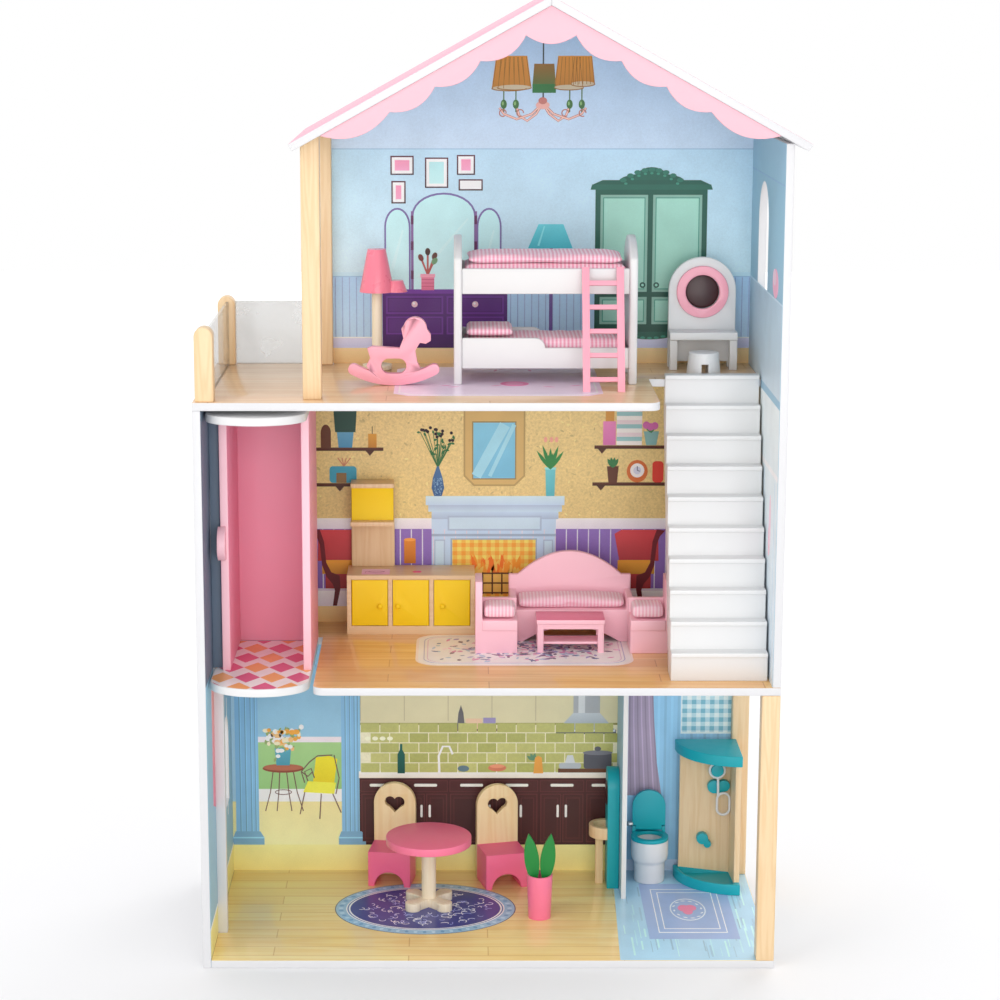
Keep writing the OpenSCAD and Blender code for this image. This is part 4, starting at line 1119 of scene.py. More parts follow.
for u, v, lean, hair in ((107, 124, -4, (120, 60, 56)), (111, 131, 0, (70, 46, 40)),
                         (115, 126, 4, (96, 60, 50)), (113, 120, 6, (110, 150, 110))):
    bedroom.stroke([(111, 104), (u + lean * 0.4, v - 6), (u + lean, v)], 2.2, (176, 90, 84), 12)
    bedroom.oval(u + lean, v, 3.0, 4.4, hair, 13, 12, tilt=-lean * 6)
bedroom.rect(253, 18, 257, 136, (112, 86, 150), 9)
bedroom.shape([(228, 135), (280, 135), (269, 163), (240, 163)], (104, 206, 216), 10,
              (78, 186, 200))
bedroom.stroke([(240, 138), (247, 161)], 2.4, (140, 222, 228), 11, 1.4)
print("patches with chest and lamp:", bedroom.count)

# %% Bedroom wall: wardrobe
DEEP_GREEN, MINT = (42, 94, 80), (150, 196, 180)
bedroom.rect(306, 36, 436, 205, DEEP_GREEN, 7, tint(DEEP_GREEN, 0.85))
bedroom.shape([(300, 203), (442, 203), (440, 209), (302, 209)], tint(DEEP_GREEN, 1.1), 8)
bedroom.shape([(303, 209), (439, 209), (428, 214), (314, 214)], DEEP_GREEN, 9)
bedroom.shape(arc(371, 213, 38, 9, 0, 180, 12), DEEP_GREEN, 8)
bedroom.shape(arc(371, 214, 20, 15, 0, 180, 12), tint(DEEP_GREEN, 1.05), 9)
for i in range(9):
    share = i / 8 * 2 - 1
    crest = 214 + 12 * (1 - share * share)
    bedroom.oval(371 + 33 * share, crest, 4, 2.6, tint(DEEP_GREEN, 1.25), 10, 10)
    bedroom.oval(371 + 30 * share, crest - 4, 2, 1.4, tint(DEEP_GREEN, 1.5), 11, 8)
for u0, u1 in ((312, 367), (373, 430)):
    for v0, v1 in ((84, 197), (46, 78)):
        bedroom.rect(u0, v0, u1, v1, tint(MINT, 0.9), 9)
        bedroom.rect(u0 + 3, v0 + 3, u1 - 3, v1 - 3, tint(DEEP_GREEN, 1.5), 10)
        bedroom.rect(u0 + 4, v0 + 4, u1 - 4, v1 - 4, tint(MINT, 1.08), 11, MINT)
for u in (362, 378):
    bedroom.oval(u, 92, 3.4, 3.4, (30, 78, 66), 12)
    bedroom.oval(u, 92, 1.6, 1.6, (150, 200, 184), 13, 10)
bedroom.shape(arc(371, 37, 34, -9, 0, 180, 12), DEEP_GREEN, 8)
for i in range(7):
    bedroom.oval(347 + i * 8, 33.5 - 4 * math.sin(math.pi * i / 6), 3, 1.6,
                 tint(DEEP_GREEN, 1.5), 9, 8)
print("patches with wardrobe:", bedroom.count)

# %% Bedroom wall: chandelier
BRASS, ARM, ARM_EDGE = (206, 138, 56), (232, 190, 178), (176, 112, 100)
LAMP_U = 244
bedroom.rect(243.6, 300, 245.2, 384, (60, 66, 70), 3)
for u, v, half, tall in ((211, 319, 20, 37), (205, 318, 20, 38), (290, 323, 14, 33),
                         (274, 319, 17, 37)):
    bedroom.shape([(u - half, v), (u + half, v), (u + half * 0.74, v + tall),
                   (u - half * 0.74, v + tall)], BRASS, 6, tint(BRASS, 0.86))
    for i in range(7):
        lean = i / 6 * 2 - 1
        bedroom.stroke([(u + half * 0.94 * lean, v + 1), (u + half * 0.7 * lean, v + tall - 1)],
                       0.7, tint(BRASS, 0.72), 7)
    bedroom.oval(u, v + 1.2, half, 3.0, (190, 176, 150), 7, 18)
    bedroom.stroke(arc(u, v + 1.2, half, 3.0, 180, 360), 1.0, tint(BRASS, 0.7), 8)
bedroom.shape([(232, 322), (259, 322), (257, 347), (234, 347)], (140, 100, 48), 5,
              (84, 104, 54))
bedroom.rect(232, 314, 259, 324, (50, 112, 62), 6)
for side in (-1, 1):
    for reach, low in ((50, 284), (30, 282)):
        curve = [(LAMP_U + side * reach * share, v) for share, v in (
            (0, 302), (0.25, 290), (0.6, low), (0.9, low + 6), (1, 297))]
        bedroom.stroke(curve, 2.8, ARM_EDGE, 5)
        bedroom.stroke(curve, 1.6, ARM, 6)
        bedroom.stroke(arc(LAMP_U + side * (reach - 4), 291, 4, 4, 0, 300, 10), 1.2, ARM_EDGE, 7)
    for reach in (31, 45):
        u = LAMP_U + side * reach
        bedroom.rect(u - 0.7, 292, u + 0.7, 320, (84, 110, 70), 4)
        bedroom.oval(u, 301, 3.6, 5.4, (66, 110, 62), 8, 12)
        bedroom.oval(u - 1, 302, 1.3, 2.4, (130, 170, 110), 9, 8)
bedroom.oval(LAMP_U, 300, 8, 4.6, (224, 170, 160), 8)
bedroom.oval(LAMP_U, 305, 5, 4, (190, 120, 112), 9)
bedroom.finish("bedroom_print", print_paper, "attic_print")

# %% [markdown]
# ### The living room wall
# Mottled mustard paper over purple panelling, with a white rail between them. A pale blue fireplace
# stands in the middle under a gilt mirror, with shelves to its left and right.

# %% Living room wall: paper, rail and skirting
living = Collage(wall_place(left_in, living_z))
living_wide = right_in - left_in
storey = span("attic_floor")[0].z - living_z
living.rect(0, 114, living_wide, storey, (228, 206, 144), 0, (220, 196, 132), 0.26)
living.rect(0, 40, living_wide, 114, (142, 112, 186), 0, (128, 98, 172), 0.05)
living.rect(0, 114, living_wide, 127, (240, 234, 240), 1, (226, 220, 232))
living.rect(0, 125, living_wide, 127, (252, 250, 252), 2)
living.rect(0, 19, living_wide, 41, (246, 238, 244), 2, (224, 216, 228))
living.rect(0, 38.5, living_wide, 40.5, (206, 196, 214), 3)
living.rect(0, 0, living_wide, 19.5, (240, 206, 148), 2, (226, 184, 122))
patch = random.Random(4)
for _ in range(260):
    u, v = patch.uniform(100, 450), patch.uniform(130, 290)
    gain = patch.choice((0.88, 0.93, 1.06, 1.1))
    living.oval(u, v, patch.uniform(0.8, 3.0), patch.uniform(0.5, 1.4),
                tint((222, 200, 138), gain), 1, 7, tilt=patch.uniform(0, 180))
print("living room sheet:", round(living_wide, 1), "by", round(storey, 1), "mm")

# %% Living room wall: mirror
GILT, MANTEL = (206, 176, 112), (190, 214, 240)
living.shape([(281, 178), (293, 166), (342, 166), (354, 178), (354, 264), (281, 264)],
             tint(GILT, 0.86), 3)
living.shape([(283, 179), (294, 168), (341, 168), (352, 179), (352, 264), (283, 264)], GILT, 4)
living.rect(291, 174, 343.5, 244, tint(GILT, 0.75), 5)
living.rect(292.5, 175.5, 342, 242.5, (132, 200, 226), 6, (120, 190, 220))
for u0, u1, width in ((296, 330, 13), (312, 341, 5)):
    living.stroke([(u0, 178), (u1, 240)][::-1], width, (160, 216, 234), 7, width * 0.9)
print("patches with mirror:", living.count)

# %% Living room wall: fireplace
living.rect(243, 19, 391, 126, MANTEL, 3, tint(MANTEL, 0.95))
living.rect(236, 143, 401, 154, tint(MANTEL, 1.06), 5, MANTEL)
living.rect(239, 135, 398, 143, tint(MANTEL, 0.9), 4, tint(MANTEL, 1.02))
living.rect(243, 126, 394, 135, MANTEL, 4, tint(MANTEL, 0.88))
living.rect(262, 112, 374, 130, tint(MANTEL, 0.88), 5)
living.rect(264, 114, 372, 128, tint(MANTEL, 1.03), 6)
living.rect(243, 105, 391, 108, tint(MANTEL, 0.82), 5)
for u0, u1 in ((243, 262), (373, 391)):
    living.rect(u0 + 3, 24, u1 - 3, 101, tint(MANTEL, 0.88), 5)
    living.rect(u0 + 4.5, 25.5, u1 - 4.5, 99.5, tint(MANTEL, 1.03), 6)
living.rect(265.5, 19, 368.5, 102.5, tint(MANTEL, 0.8), 5)
CHECK_GOLD, CHECK_ORANGE = (248, 214, 104), (242, 160, 60)
living.rect(267.5, 19, 367, 101, CHECK_GOLD, 6)
for i in range(10):
    living.rect(268.5 + i * 10, 19, 273.5 + i * 10, 101, (246, 186, 82), 7)
for j in range(8):
    for i in range(10):
        living.rect(268.5 + i * 10, 22 + j * 10, 273.5 + i * 10, 27 + j * 10, CHECK_ORANGE, 9)
    living.rect(267.5, 22 + j * 10, 367, 27 + j * 10, (247, 188, 86), 8)
IRONWORK = (86, 50, 36)
flame = random.Random(11)
for _ in range(46):
    u = 320 + flame.uniform(-24, 24)
    living.leaf(u, 56, flame.uniform(12, 30), flame.uniform(3, 7),
                90 + flame.uniform(-28, 28), flame.choice(((244, 150, 50), (236, 118, 40),
                                                           (250, 190, 90))), 10)
living.rect(303, 36, 339, 60, (236, 190, 96), 11)
for u in (303, 314.5, 326, 337):
    living.rect(u, 34, u + 1.8, 61, IRONWORK, 12)
for v in (35, 47, 59):
    living.rect(303, v, 338.8, v + 1.8, IRONWORK, 12)
print("patches with fireplace:", living.count)

# %% Living room wall: the two vases
living.shape([(246, 154), (255, 154), (258, 164), (256, 176), (251.6, 190), (249.4, 190),
              (244.5, 176), (243, 164)], (70, 112, 156), 8, (58, 92, 138))
for _ in range(60):
    living.oval(250.5 + flame.uniform(-5, 5), flame.uniform(156, 176), 0.5, 0.5,
                (150, 190, 214), 9, 6)
for _ in range(26):
    angle = flame.uniform(60, 120)
    reach = flame.uniform(14, 46)
    tip = (250.5 + reach * math.cos(math.radians(angle)) * 1.1,
           190 + reach * math.sin(math.radians(angle)))
    living.stroke([(250.5, 188), tip], 0.7, (56, 110, 66), 7)
    living.leaf(*tip, flame.uniform(4, 7), 2.6, flame.uniform(0, 360), (44, 108, 62), 8)
    if reach > 30:
        living.oval(tip[0] + flame.uniform(-3, 3), tip[1] + 3, 1.9, 1.9, (44, 26, 34), 9, 9)
living.shape([(379, 154), (389, 154), (390, 188), (378, 188)], (112, 200, 206), 8,
             (86, 178, 188))
living.rect(377.4, 186, 390.6, 188.6, (146, 220, 222), 9)
for angle, length in ((90, 26), (72, 30), (108, 31), (55, 27), (126, 28), (82, 20), (98, 18)):
    living.leaf(384, 186, length, 4.4, angle, (52, 134, 72), 9)
for u in (378, 385, 391):
    living.oval(u, 222, 2.2, 3.4, (232, 168, 150), 10, 8)
print("patches with vases:", living.count)

# %% Living room wall: the left shelves
SHELF = (98, 56, 40)
for u0, u1, v, peg in ((104, 186, 208.5, 170), (104, 149, 165.5, 134), (436, 520, 211, 445),
                       (434, 520, 166.5, 444)):
    living.rect(u0, v, u1, v + 4, SHELF, 5, tint(SHELF, 0.7))
    living.shape([(peg - 5, v), (peg, v - 6), (peg + 5, v)][::-1], tint(SHELF, 0.8), 4)
living.arch(112, 212, 124, 240, 10, (104, 62, 44), 7)
living.shape([(133, 212.5), (149, 212.5), (151, 232), (131, 232)], (98, 164, 196), 7,
             (76, 144, 182))
living.shape([(129, 231), (153, 231), (155, 262), (127, 262)], (40, 76, 66), 8)
living.rect(168, 212.5, 178, 229, (214, 158, 62), 7, (190, 130, 50))
living.stroke([(173, 229), (173, 238)], 0.8, (90, 60, 40), 7)
living.rounded(122, 170, 154, 190, 4, (64, 158, 184), 7)
living.rect(130, 170, 142, 182, (138, 110, 70), 8)
for lean in (-7, -2, 3, 8):
    living.stroke([(139, 190), (139 + lean, 200)], 1.2, (196, 128, 100), 6)
print("patches with left shelves:", living.count)

# %% Living room wall: the right shelves
CLOCK_HAND = (60, 60, 90)
living.rect(446, 215.5, 461, 244, (226, 138, 190), 7, (206, 114, 172))
living.rect(449, 240, 459, 256, (206, 150, 72), 6)
for i in range(9):
    living.rect(462, 215.5 + i * 5, 492, 220.5 + i * 5,
                ((238, 236, 232), (150, 198, 200), (226, 214, 218))[i % 3], 7)
living.shape([(497, 215.5), (509, 215.5), (512, 232), (494, 232)], (132, 180, 178), 7)
for lean in (-6, -1, 4):
    living.oval(503 + lean, 237 + abs(lean) * 0.4, 4.4, 4.6, (204, 110, 176), 8, 10)
    living.leaf(503, 230, 12, 3, 90 - lean * 7, (70, 130, 84), 7)
living.shape([(453, 170.5), (463, 170.5), (465, 190), (451, 190)], (98, 58, 44), 7)
for angle in (60, 80, 100, 120):
    living.leaf(458, 188, 13, 4.6, angle, (56, 122, 74), 8)
living.oval(487, 184, 12.5, 13.5, (206, 110, 54), 7)
living.oval(487, 185, 8.4, 8.6, (246, 240, 244), 8)
living.oval(487, 185, 4.6, 4.6, (206, 210, 226), 9)
living.stroke([(487, 185), (487, 190)], 0.8, CLOCK_HAND, 10)
living.stroke([(487, 185), (490, 184)], 0.8, CLOCK_HAND, 10)
living.rounded(505, 170.5, 518, 196, 4, (214, 66, 54), 7)
print("patches with right shelves:", living.count)

# %% Living room wall: armchairs and candle
RED, WINE, OCHRE = (206, 68, 74), (112, 34, 44), (230, 160, 56)
for mirror_u, side in ((104, 1), (517, -1)):
    def at(u, v):
        return (mirror_u + side * u, v)
    seat = [at(8, 59), at(52, 59), at(52, 76), at(8, 76)]
    apron = [at(12, 41), at(52, 41), at(52, 60), at(12, 60)]
    back = [at(3, 75), at(50, 75), at(56, 108), at(48, 113), at(4, 113)]
    scroll = [at(-4.5, 112), at(5.5, 113.5), at(10.5, 98.5), at(13, 73), at(19, 61), at(29, 57),
              at(29.7, 41), at(25.3, 20), at(20.5, 20), at(23, 39), at(20.5, 46.5), at(13, 55.8),
              at(8, 69.7), at(5.5, 95), at(1.8, 105)]
    for outline, ink, high in ((back, RED, 5), (apron, tint(RED, 0.85), 5), (seat, OCHRE, 6),
                               (scroll, WINE, 7)):
        living.shape(outline if side > 0 else outline[::-1], ink, high, tint(ink, 0.85))
living.rect(210, 72, 224, 101, (216, 134, 42), 6, (190, 110, 34))
living.oval(217, 101, 7, 2, (236, 160, 70), 7)
living.finish("living_print", print_paper, "living_print")

# %% [markdown]
# ### The kitchen and bathroom wall
# From the left: a doorway between blue pillars with a little garden table behind it, the kitchen
# with tiles over dark cupboards, and past the partition the bathroom with its curtain and a checked
# blind.

# %% Ground floor wall: doorway scene
kitchen = Collage(wall_place(left_in, ground_z))
ground_wide = span("kitchen_back_panel")[1].x - left_in
ground_storey = span("middle_floor")[0].z - ground_z
PILLAR = (132, 182, 218)
kitchen.rect(0, 0, ground_wide, ground_storey, (168, 204, 226), 0)
kitchen.rect(30, 169, 134, ground_storey, (136, 184, 214), 1, (150, 196, 222))
kitchen.rect(30, 162, 134, 170, (250, 226, 232), 2)
kitchen.rect(30, 103, 134, 163, (164, 204, 138), 2, (150, 196, 128))
kitchen.rect(30, 88, 134, 104, (246, 246, 240), 3)
kitchen.rect(0, 33, 158, 88, (244, 222, 160), 1, (250, 234, 178))
kitchen.rect(0, 0, 472, 33, (246, 232, 160), 2, (240, 220, 140))
for u0, u1 in ((4, 32), (133, 156)):
    kitchen.rect(u0, 40, u1, ground_storey, PILLAR, 4, tint(PILLAR, 1.03))
    for share in (0.18, 0.42, 0.66, 0.84):
        u = u0 + (u1 - u0) * share
        kitchen.rect(u, 40, u + 1.2, ground_storey, tint(PILLAR, 0.86), 5)
        kitchen.rect(u + 1.2, 40, u + 2.2, ground_storey, tint(PILLAR, 1.12), 5)
    kitchen.shape([(u0 - 4, 33), (u1 + 6, 33), (u1 + 6, 42), (u1 + 1, 50), (u0 - 1, 50),
                   (u0 - 4, 42)], tint(PILLAR, 0.94), 6)
    kitchen.rect(u0 - 4, 41, u1 + 6, 43, tint(PILLAR, 1.15), 7)
print("ground floor sheet:", round(ground_wide, 1), "by", round(ground_storey, 1), "mm")

# %% Ground floor wall: garden table and chair
IRON = (120, 92, 84)
kitchen.oval(62, 130, 25, 5.4, (140, 76, 58), 7, 24)
kitchen.oval(62, 131.4, 24, 4.2, (176, 104, 80), 8, 24)
for u0, u1 in ((50, 40), (58, 54), (66, 72), (74, 86)):
    kitchen.stroke([(u0, 128), ((u0 + u1) / 2 + (62 - u0) * 0.1, 100), (u1, 76)], 1.2, IRON, 6)
kitchen.stroke(arc(62, 100, 10, 3, 0, 360, 16), 0.9, IRON, 7)
kitchen.shape([(54, 134), (70, 134), (72, 156), (52, 156)], (94, 170, 188), 9, (74, 148, 170))
bloom = random.Random(7)
for _ in range(44):
    u, v = 62 + bloom.gauss(0, 10), 170 + bloom.gauss(0, 9)
    kitchen.leaf(u, v, 7, 3, bloom.uniform(0, 360), (150, 170, 110), 9)
    kitchen.oval(u + 2, v + 1, bloom.uniform(2, 4.4), bloom.uniform(2, 3.6),
                 bloom.choice(((248, 244, 236), (244, 226, 196), (240, 166, 70), (238, 190, 130))),
                 10, 9)
YELLOW = (240, 222, 52)
kitchen.shape([(98, 112), (124, 112), (128, 142), (118, 146), (102, 144)], YELLOW, 8,
              (226, 206, 40))
kitchen.shape([(86, 100), (124, 98), (126, 112), (92, 114)], (246, 232, 80), 9)
for points in (((88, 112), (84, 126), (94, 138), (104, 146), (122, 147)),
               ((124, 147), (130, 118), (126, 98)), ((88, 100), (82, 72)), ((122, 98), (132, 74)),
               ((108, 98), (106, 66)), ((92, 114), (88, 126), (96, 130), (100, 118)),
               ((84, 126), (92, 120), (98, 126))):
    kitchen.stroke(list(points), 1.3, IRON, 10)
print("patches with garden table:", kitchen.count)

# %% Ground floor wall: kitchen cupboards
COCOA = (74, 38, 38)
kitchen.rect(156, 118, 474, ground_storey, (170, 172, 92), 3)
kitchen.rect(156, 186, 474, ground_storey, (226, 220, 186), 5, (214, 208, 170))
for i in range(7):
    kitchen.rect(156 + i * 53, 190, 157 + i * 53, ground_storey, (188, 180, 146), 6)
kitchen.rect(156, 184.5, 474, 187.5, (150, 146, 84), 7)
kitchen.rect(154, 118, 474, 126.5, (250, 244, 232), 12, (232, 222, 206))
kitchen.rect(154, 33, 474, 118, COCOA, 5, tint(COCOA, 0.85))
cabinets = ((156, 206, 2), (208, 262, 2), (264, 318, 1), (320, 372, 2), (374, 428, 2),
            (430, 472, 1))
for u0, u1, doors in cabinets:
    kitchen.rect(u0, 100, u1, 115, tint(COCOA, 1.25), 6)
    kitchen.rect(u0 + 1, 101, u1 - 1, 114, tint(COCOA, 1.05), 7)
    kitchen.rounded((u0 + u1) / 2 - 14, 107, (u0 + u1) / 2 + 14, 110.6, 1.6, (244, 236, 226), 8)
    wide = (u1 - u0) / doors
    for i in range(doors):
        a = u0 + i * wide
        kitchen.rect(a + 0.8, 36, a + wide - 0.8, 98, tint(COCOA, 1.28), 6)
        kitchen.rect(a + 2, 37.2, a + wide - 2, 96.8, COCOA, 7)
        kitchen.rect(a + 5, 41, a + wide - 5, 93, tint(COCOA, 1.2), 8)
        kitchen.rect(a + 6, 42, a + wide - 6, 92, tint(COCOA, 0.96), 9)
        side = wide - 5 if i == 0 else 5
        kitchen.rounded(a + side - 1.4, 68, a + side + 1.4, 84, 1.3, (246, 240, 232), 10)
print("patches with cupboards:", kitchen.count)

# %% Ground floor wall: hood, shelf and worktop
STEEL = (196, 206, 214)
kitchen.shape([(394, 178), (465, 178), (446, 200), (414, 200)], STEEL, 9, (150, 162, 172))
kitchen.rect(414, 200, 446, ground_storey, (170, 176, 182), 9)
kitchen.rect(420, 200, 428, ground_storey, (214, 220, 224), 10)
kitchen.rect(393, 173.5, 466, 179, (92, 96, 102), 10)
kitchen.rect(394, 176.5, 465, 179, (214, 222, 228), 11)
kitchen.rect(271, 177, 322, 180.5, (120, 98, 84), 9)
kitchen.rect(284, 180, 304, 193, (226, 196, 166), 10)
kitchen.rect(305, 180, 320, 194, (154, 146, 190), 10)
kitchen.shape([(273, 180), (283, 180), (281, 200), (278, 210), (275, 200)], (104, 104, 108), 10)
kitchen.shape([(201, 124), (210, 124), (210, 148), (207, 154), (207, 161), (204, 161),
               (204, 154), (201, 148)], (24, 96, 84), 13, (16, 78, 70))
kitchen.stroke([(252, 124), (251, 146), (256, 158), (264, 158), (268, 148)], 2.6,
               (236, 238, 234), 13)
kitchen.oval(281, 130, 7, 4, (96, 122, 132), 13)
kitchen.oval(322, 131, 11, 4.6, (206, 122, 92), 13)
kitchen.oval(322, 133, 9, 2.4, (226, 150, 116), 14)
for lean in (-8, 0, 8):
    kitchen.leaf(366, 140, 10, 4, 110 + lean * 4, (96, 140, 110), 13)
kitchen.shape([(366, 124), (378, 124), (376, 144), (372, 146), (368, 144)], (226, 160, 74), 14)
for i in range(4):
    kitchen.oval(165 + i * 9, 168, 3.6, 2.6, (238, 236, 206), 13, 12)
kitchen.rect(396, 125, 470, 130, (104, 68, 48), 13)
kitchen.rounded(397, 130, 424, 137, 3, (180, 188, 194), 14)
kitchen.shape([(404, 136), (417, 136), (414, 147), (407, 147)], (206, 212, 216), 14)
kitchen.rounded(427, 130, 461, 150, 3, (88, 90, 100), 14)
kitchen.oval(444, 150, 18, 3, (120, 122, 132), 15)
kitchen.oval(444, 155, 4, 3, (96, 98, 108), 16)
print("patches with worktop:", kitchen.count)

# %% Ground floor wall: bathroom
BATH = (148, 196, 226)
kitchen.rect(472, 0, ground_wide, ground_storey, BATH, 3, tint(BATH, 1.03))
for i in range(16):
    u = 476 + i * 8
    kitchen.rect(u, 12, u + 3, ground_storey, tint(BATH, 1.05 if i % 2 else 0.95), 4)
kitchen.rect(472, 0, ground_wide, 14, (196, 214, 238), 5)
CURTAIN = (172, 154, 176)
kitchen.shape([(476, 96), (522, 96), (514, 150), (506, ground_storey), (476, ground_storey)],
              CURTAIN, 6, tint(CURTAIN, 0.94))
for i in range(8):
    foot, head = 479 + i * 5.6, 478 + i * 4
    kitchen.stroke([(foot, 97), ((foot + head) / 2 - 1, 190), (head, ground_storey - 1)],
                   1.6, tint(CURTAIN, 0.86 if i % 2 else 1.1), 7)
kitchen.rect(544, 174, ground_wide, ground_storey, (224, 238, 246), 6)
kitchen.finish("kitchen_print", print_paper, "kitchen_print")

# %% [markdown]
# ### Repeats by Geometry Nodes
# Wall tiles and grooved panelling are one small block set out on a grid. A node tree lays the
# grid, shifts every other row, drops a block on each point and gives it a random tone with a
# fixed seed. Its sizes are named inputs, so one tree serves the tiles and both sorts of panelling.


# %% The tree that sets out blocks on a grid
def block_grid_tree():
    """Blocks standing on the XZ plane, in rows that may be shifted like bricks."""
    tree = bpy.data.node_groups.new("block_grid", "GeometryNodeTree")
    for label, kind in (("Columns", "Int"), ("Rows", "Int"), ("Step Across", "Float"),
                        ("Step Up", "Float"), ("Row Shift", "Float"), ("Block", "Vector"),
                        ("Corner", "Vector"), ("Seed", "Int"), ("Material", "Material")):
        tree.interface.new_socket(label, in_out="INPUT", socket_type="NodeSocket" + kind)
    tree.interface.new_socket("Geometry", in_out="OUTPUT", socket_type="NodeSocketGeometry")
    given = tree.nodes.new("NodeGroupInput").outputs
    result = tree.nodes.new("NodeGroupOutput").inputs
    wide = maths(tree, "MULTIPLY", maths(tree, "SUBTRACT", given["Columns"], 1.0),
                 given["Step Across"])
    tall = maths(tree, "MULTIPLY", maths(tree, "SUBTRACT", given["Rows"], 1.0), given["Step Up"])
    grid = place_node(tree, "GeometryNodeMeshGrid",
                      {"Size X": wide, "Size Y": tall, "Vertices X": given["Columns"],
                       "Vertices Y": given["Rows"]})
    here = tree.nodes.new("GeometryNodeInputPosition").outputs[0]
    up = add(tree, "SeparateXYZ", {0: here}).outputs[1]
    half = maths(tree, "MULTIPLY", tall, 0.5)
    row = maths(tree, "DIVIDE", maths(tree, "ADD", up, half), given["Step Up"])
    odd = maths(tree, "FLOORED_MODULO", maths(tree, "ROUND", row), 2.0)
    offset = add(tree, "CombineXYZ", {0: maths(tree, "MULTIPLY", odd, given["Row Shift"])})
    moved = place_node(tree, "GeometryNodeSetPosition",
                       {0: grid.outputs[0], "Offset": offset.outputs[0]})
    corner = add(tree, "CombineXYZ", {0: maths(tree, "MULTIPLY", wide, 0.5), 2: half})
    place = add(tree, "VectorMath", {0: corner.outputs[0], 1: given["Corner"]}, operation="ADD")
    upright = place_node(tree, "GeometryNodeTransform",
                         {0: moved.outputs[0], "Translation": place.outputs[0],
                          "Rotation": (math.pi / 2, 0, 0)})
    block = place_node(tree, "GeometryNodeMeshCube", {"Size": given["Block"]})
    spread = place_node(tree, "GeometryNodeInstanceOnPoints",
                        {"Points": upright.outputs[0], "Instance": block.outputs[0]})
    chance = place_node(tree, "FunctionNodeRandomValue", {"Seed": given["Seed"]},
                        data_type="FLOAT").outputs[1]
    toned = place_node(tree, "GeometryNodeStoreNamedAttribute",
                       {0: spread.outputs[0], "Name": "tone", "Value": chance},
                       data_type="FLOAT", domain="INSTANCE")
    solid = place_node(tree, "GeometryNodeRealizeInstances", {0: toned.outputs[0]})
    finished = place_node(tree, "GeometryNodeSetMaterial",
                          {0: solid.outputs[0], "Material": given["Material"]})
    tree.links.new(finished.outputs[0], result[0])
    return tree


block_grid = block_grid_tree()
print("block grid nodes:", len(block_grid.nodes))

# %% [markdown]
# A tree runs on an empty carrier. Its inputs are set by their identifiers before the carrier is
# first evaluated, and the result is kept as a plain mesh, so nothing live is left on the piece.


# %% Run a tree and keep its mesh
def evaluated_mesh(carrier):
    """The carrier's mesh with its modifiers worked in."""
    evaluated = carrier.evaluated_get(bpy.context.evaluated_depsgraph_get())
    return bpy.data.meshes.new_from_object(evaluated)


def run_tree(name, tree, values, body, slot_name):
    """Runs a node tree with its named inputs and keeps the result as a plain mesh."""
    carrier = bpy.data.objects.new(name + "_carrier", bpy.data.meshes.new(name + "_carrier"))
    bpy.context.scene.collection.objects.link(carrier)
    modifier = carrier.modifiers.new("set_out", "NODES")
    modifier.node_group = tree
    for socket in tree.interface.items_tree:
        if socket.in_out == "INPUT" and socket.name in values:
            modifier[socket.identifier] = values[socket.name]
    mesh = evaluated_mesh(carrier)
    mesh.name = name
    bpy.data.objects.remove(carrier)
    print(name, "faces:", len(mesh.polygons))
    return place_piece(name, mesh, body, slot_name)


# %% [markdown]
# The tiles are glazed blocks over a cream grout sheet, each a little lighter or darker than the
# next. Of the panelling only the grooves are made, as thin raised lines.


# %% Tiles and panelling
def toned_print(name, dark, light, coat):
    """Printed blocks whose tone differs a little from one to the next."""
    made, tree, shader, place = open_material(name, roughness=0.3, coat=coat)
    block_tone = add(tree, "Attribute", attribute_name="tone").outputs["Fac"]
    base = mix(tree, block_tone, linear(*dark), linear(*light))
    paper = use_group(tree, paper_tree, {"Vector": place, "Color": base, "Mottle": 0.12})
    tree.links.new(paper["Color"], shader.inputs["Base Color"])
    bump(tree, shader, paper["Height"], 0.06, 0.08)
    return made


tile_glaze = toned_print("tile_glaze", (176, 180, 92), (206, 206, 124), 0.4)
groove_blue = toned_print("groove_blue", (150, 176, 220), (166, 190, 228), 0.3)
groove_white = toned_print("groove_white", (226, 220, 238), (240, 236, 246), 0.3)
grout_paint = toned_print("grout_cream", (244, 240, 206), (250, 246, 216), 0.2)


def wall_corner(left, floor, u, v, high):
    """The middle of a block on the back wall, in metres."""
    return ((left + u) * MM, (panel_y - high) * MM, (floor + v) * MM)


run_tree("kitchen_grout", block_grid, {
    "Columns": 1, "Rows": 1, "Step Across": 0.02, "Step Up": 0.012, "Row Shift": 0.0,
    "Block": (316 * MM, 0.6 * MM, 66 * MM), "Seed": 1, "Material": grout_paint,
    "Corner": wall_corner(left_in, ground_z, 314, 152, 0.3)}, "house", "kitchen_print")
run_tree("kitchen_tiles", block_grid, {
    "Columns": 13, "Rows": 5, "Step Across": 23.6 * MM, "Step Up": 12.6 * MM,
    "Row Shift": 11.8 * MM, "Block": (22.4 * MM, 0.8 * MM, 11.4 * MM), "Seed": 5,
    "Material": tile_glaze,
    "Corner": wall_corner(left_in, ground_z, 168, 131, 0.42)}, "house", "kitchen_print")
run_tree("bedroom_grooves", block_grid, {
    "Columns": 60, "Rows": 1, "Step Across": 8.2 * MM, "Step Up": 1.0, "Row Shift": 0.0,
    "Block": (1.1 * MM, 0.4 * MM, 70 * MM), "Seed": 2, "Material": groove_blue,
    "Corner": wall_corner(attic_left, attic_z, 3, 66, 0.12)}, "house", "attic_print")
run_tree("living_grooves", block_grid, {
    "Columns": 34, "Rows": 1, "Step Across": 13.2 * MM, "Step Up": 1.0, "Row Shift": 0.0,
    "Block": (1.3 * MM, 0.4 * MM, 72 * MM), "Seed": 3, "Material": groove_white,
    "Corner": wall_corner(left_in, living_z, 100, 77.5, 0.12)}, "house", "living_print")

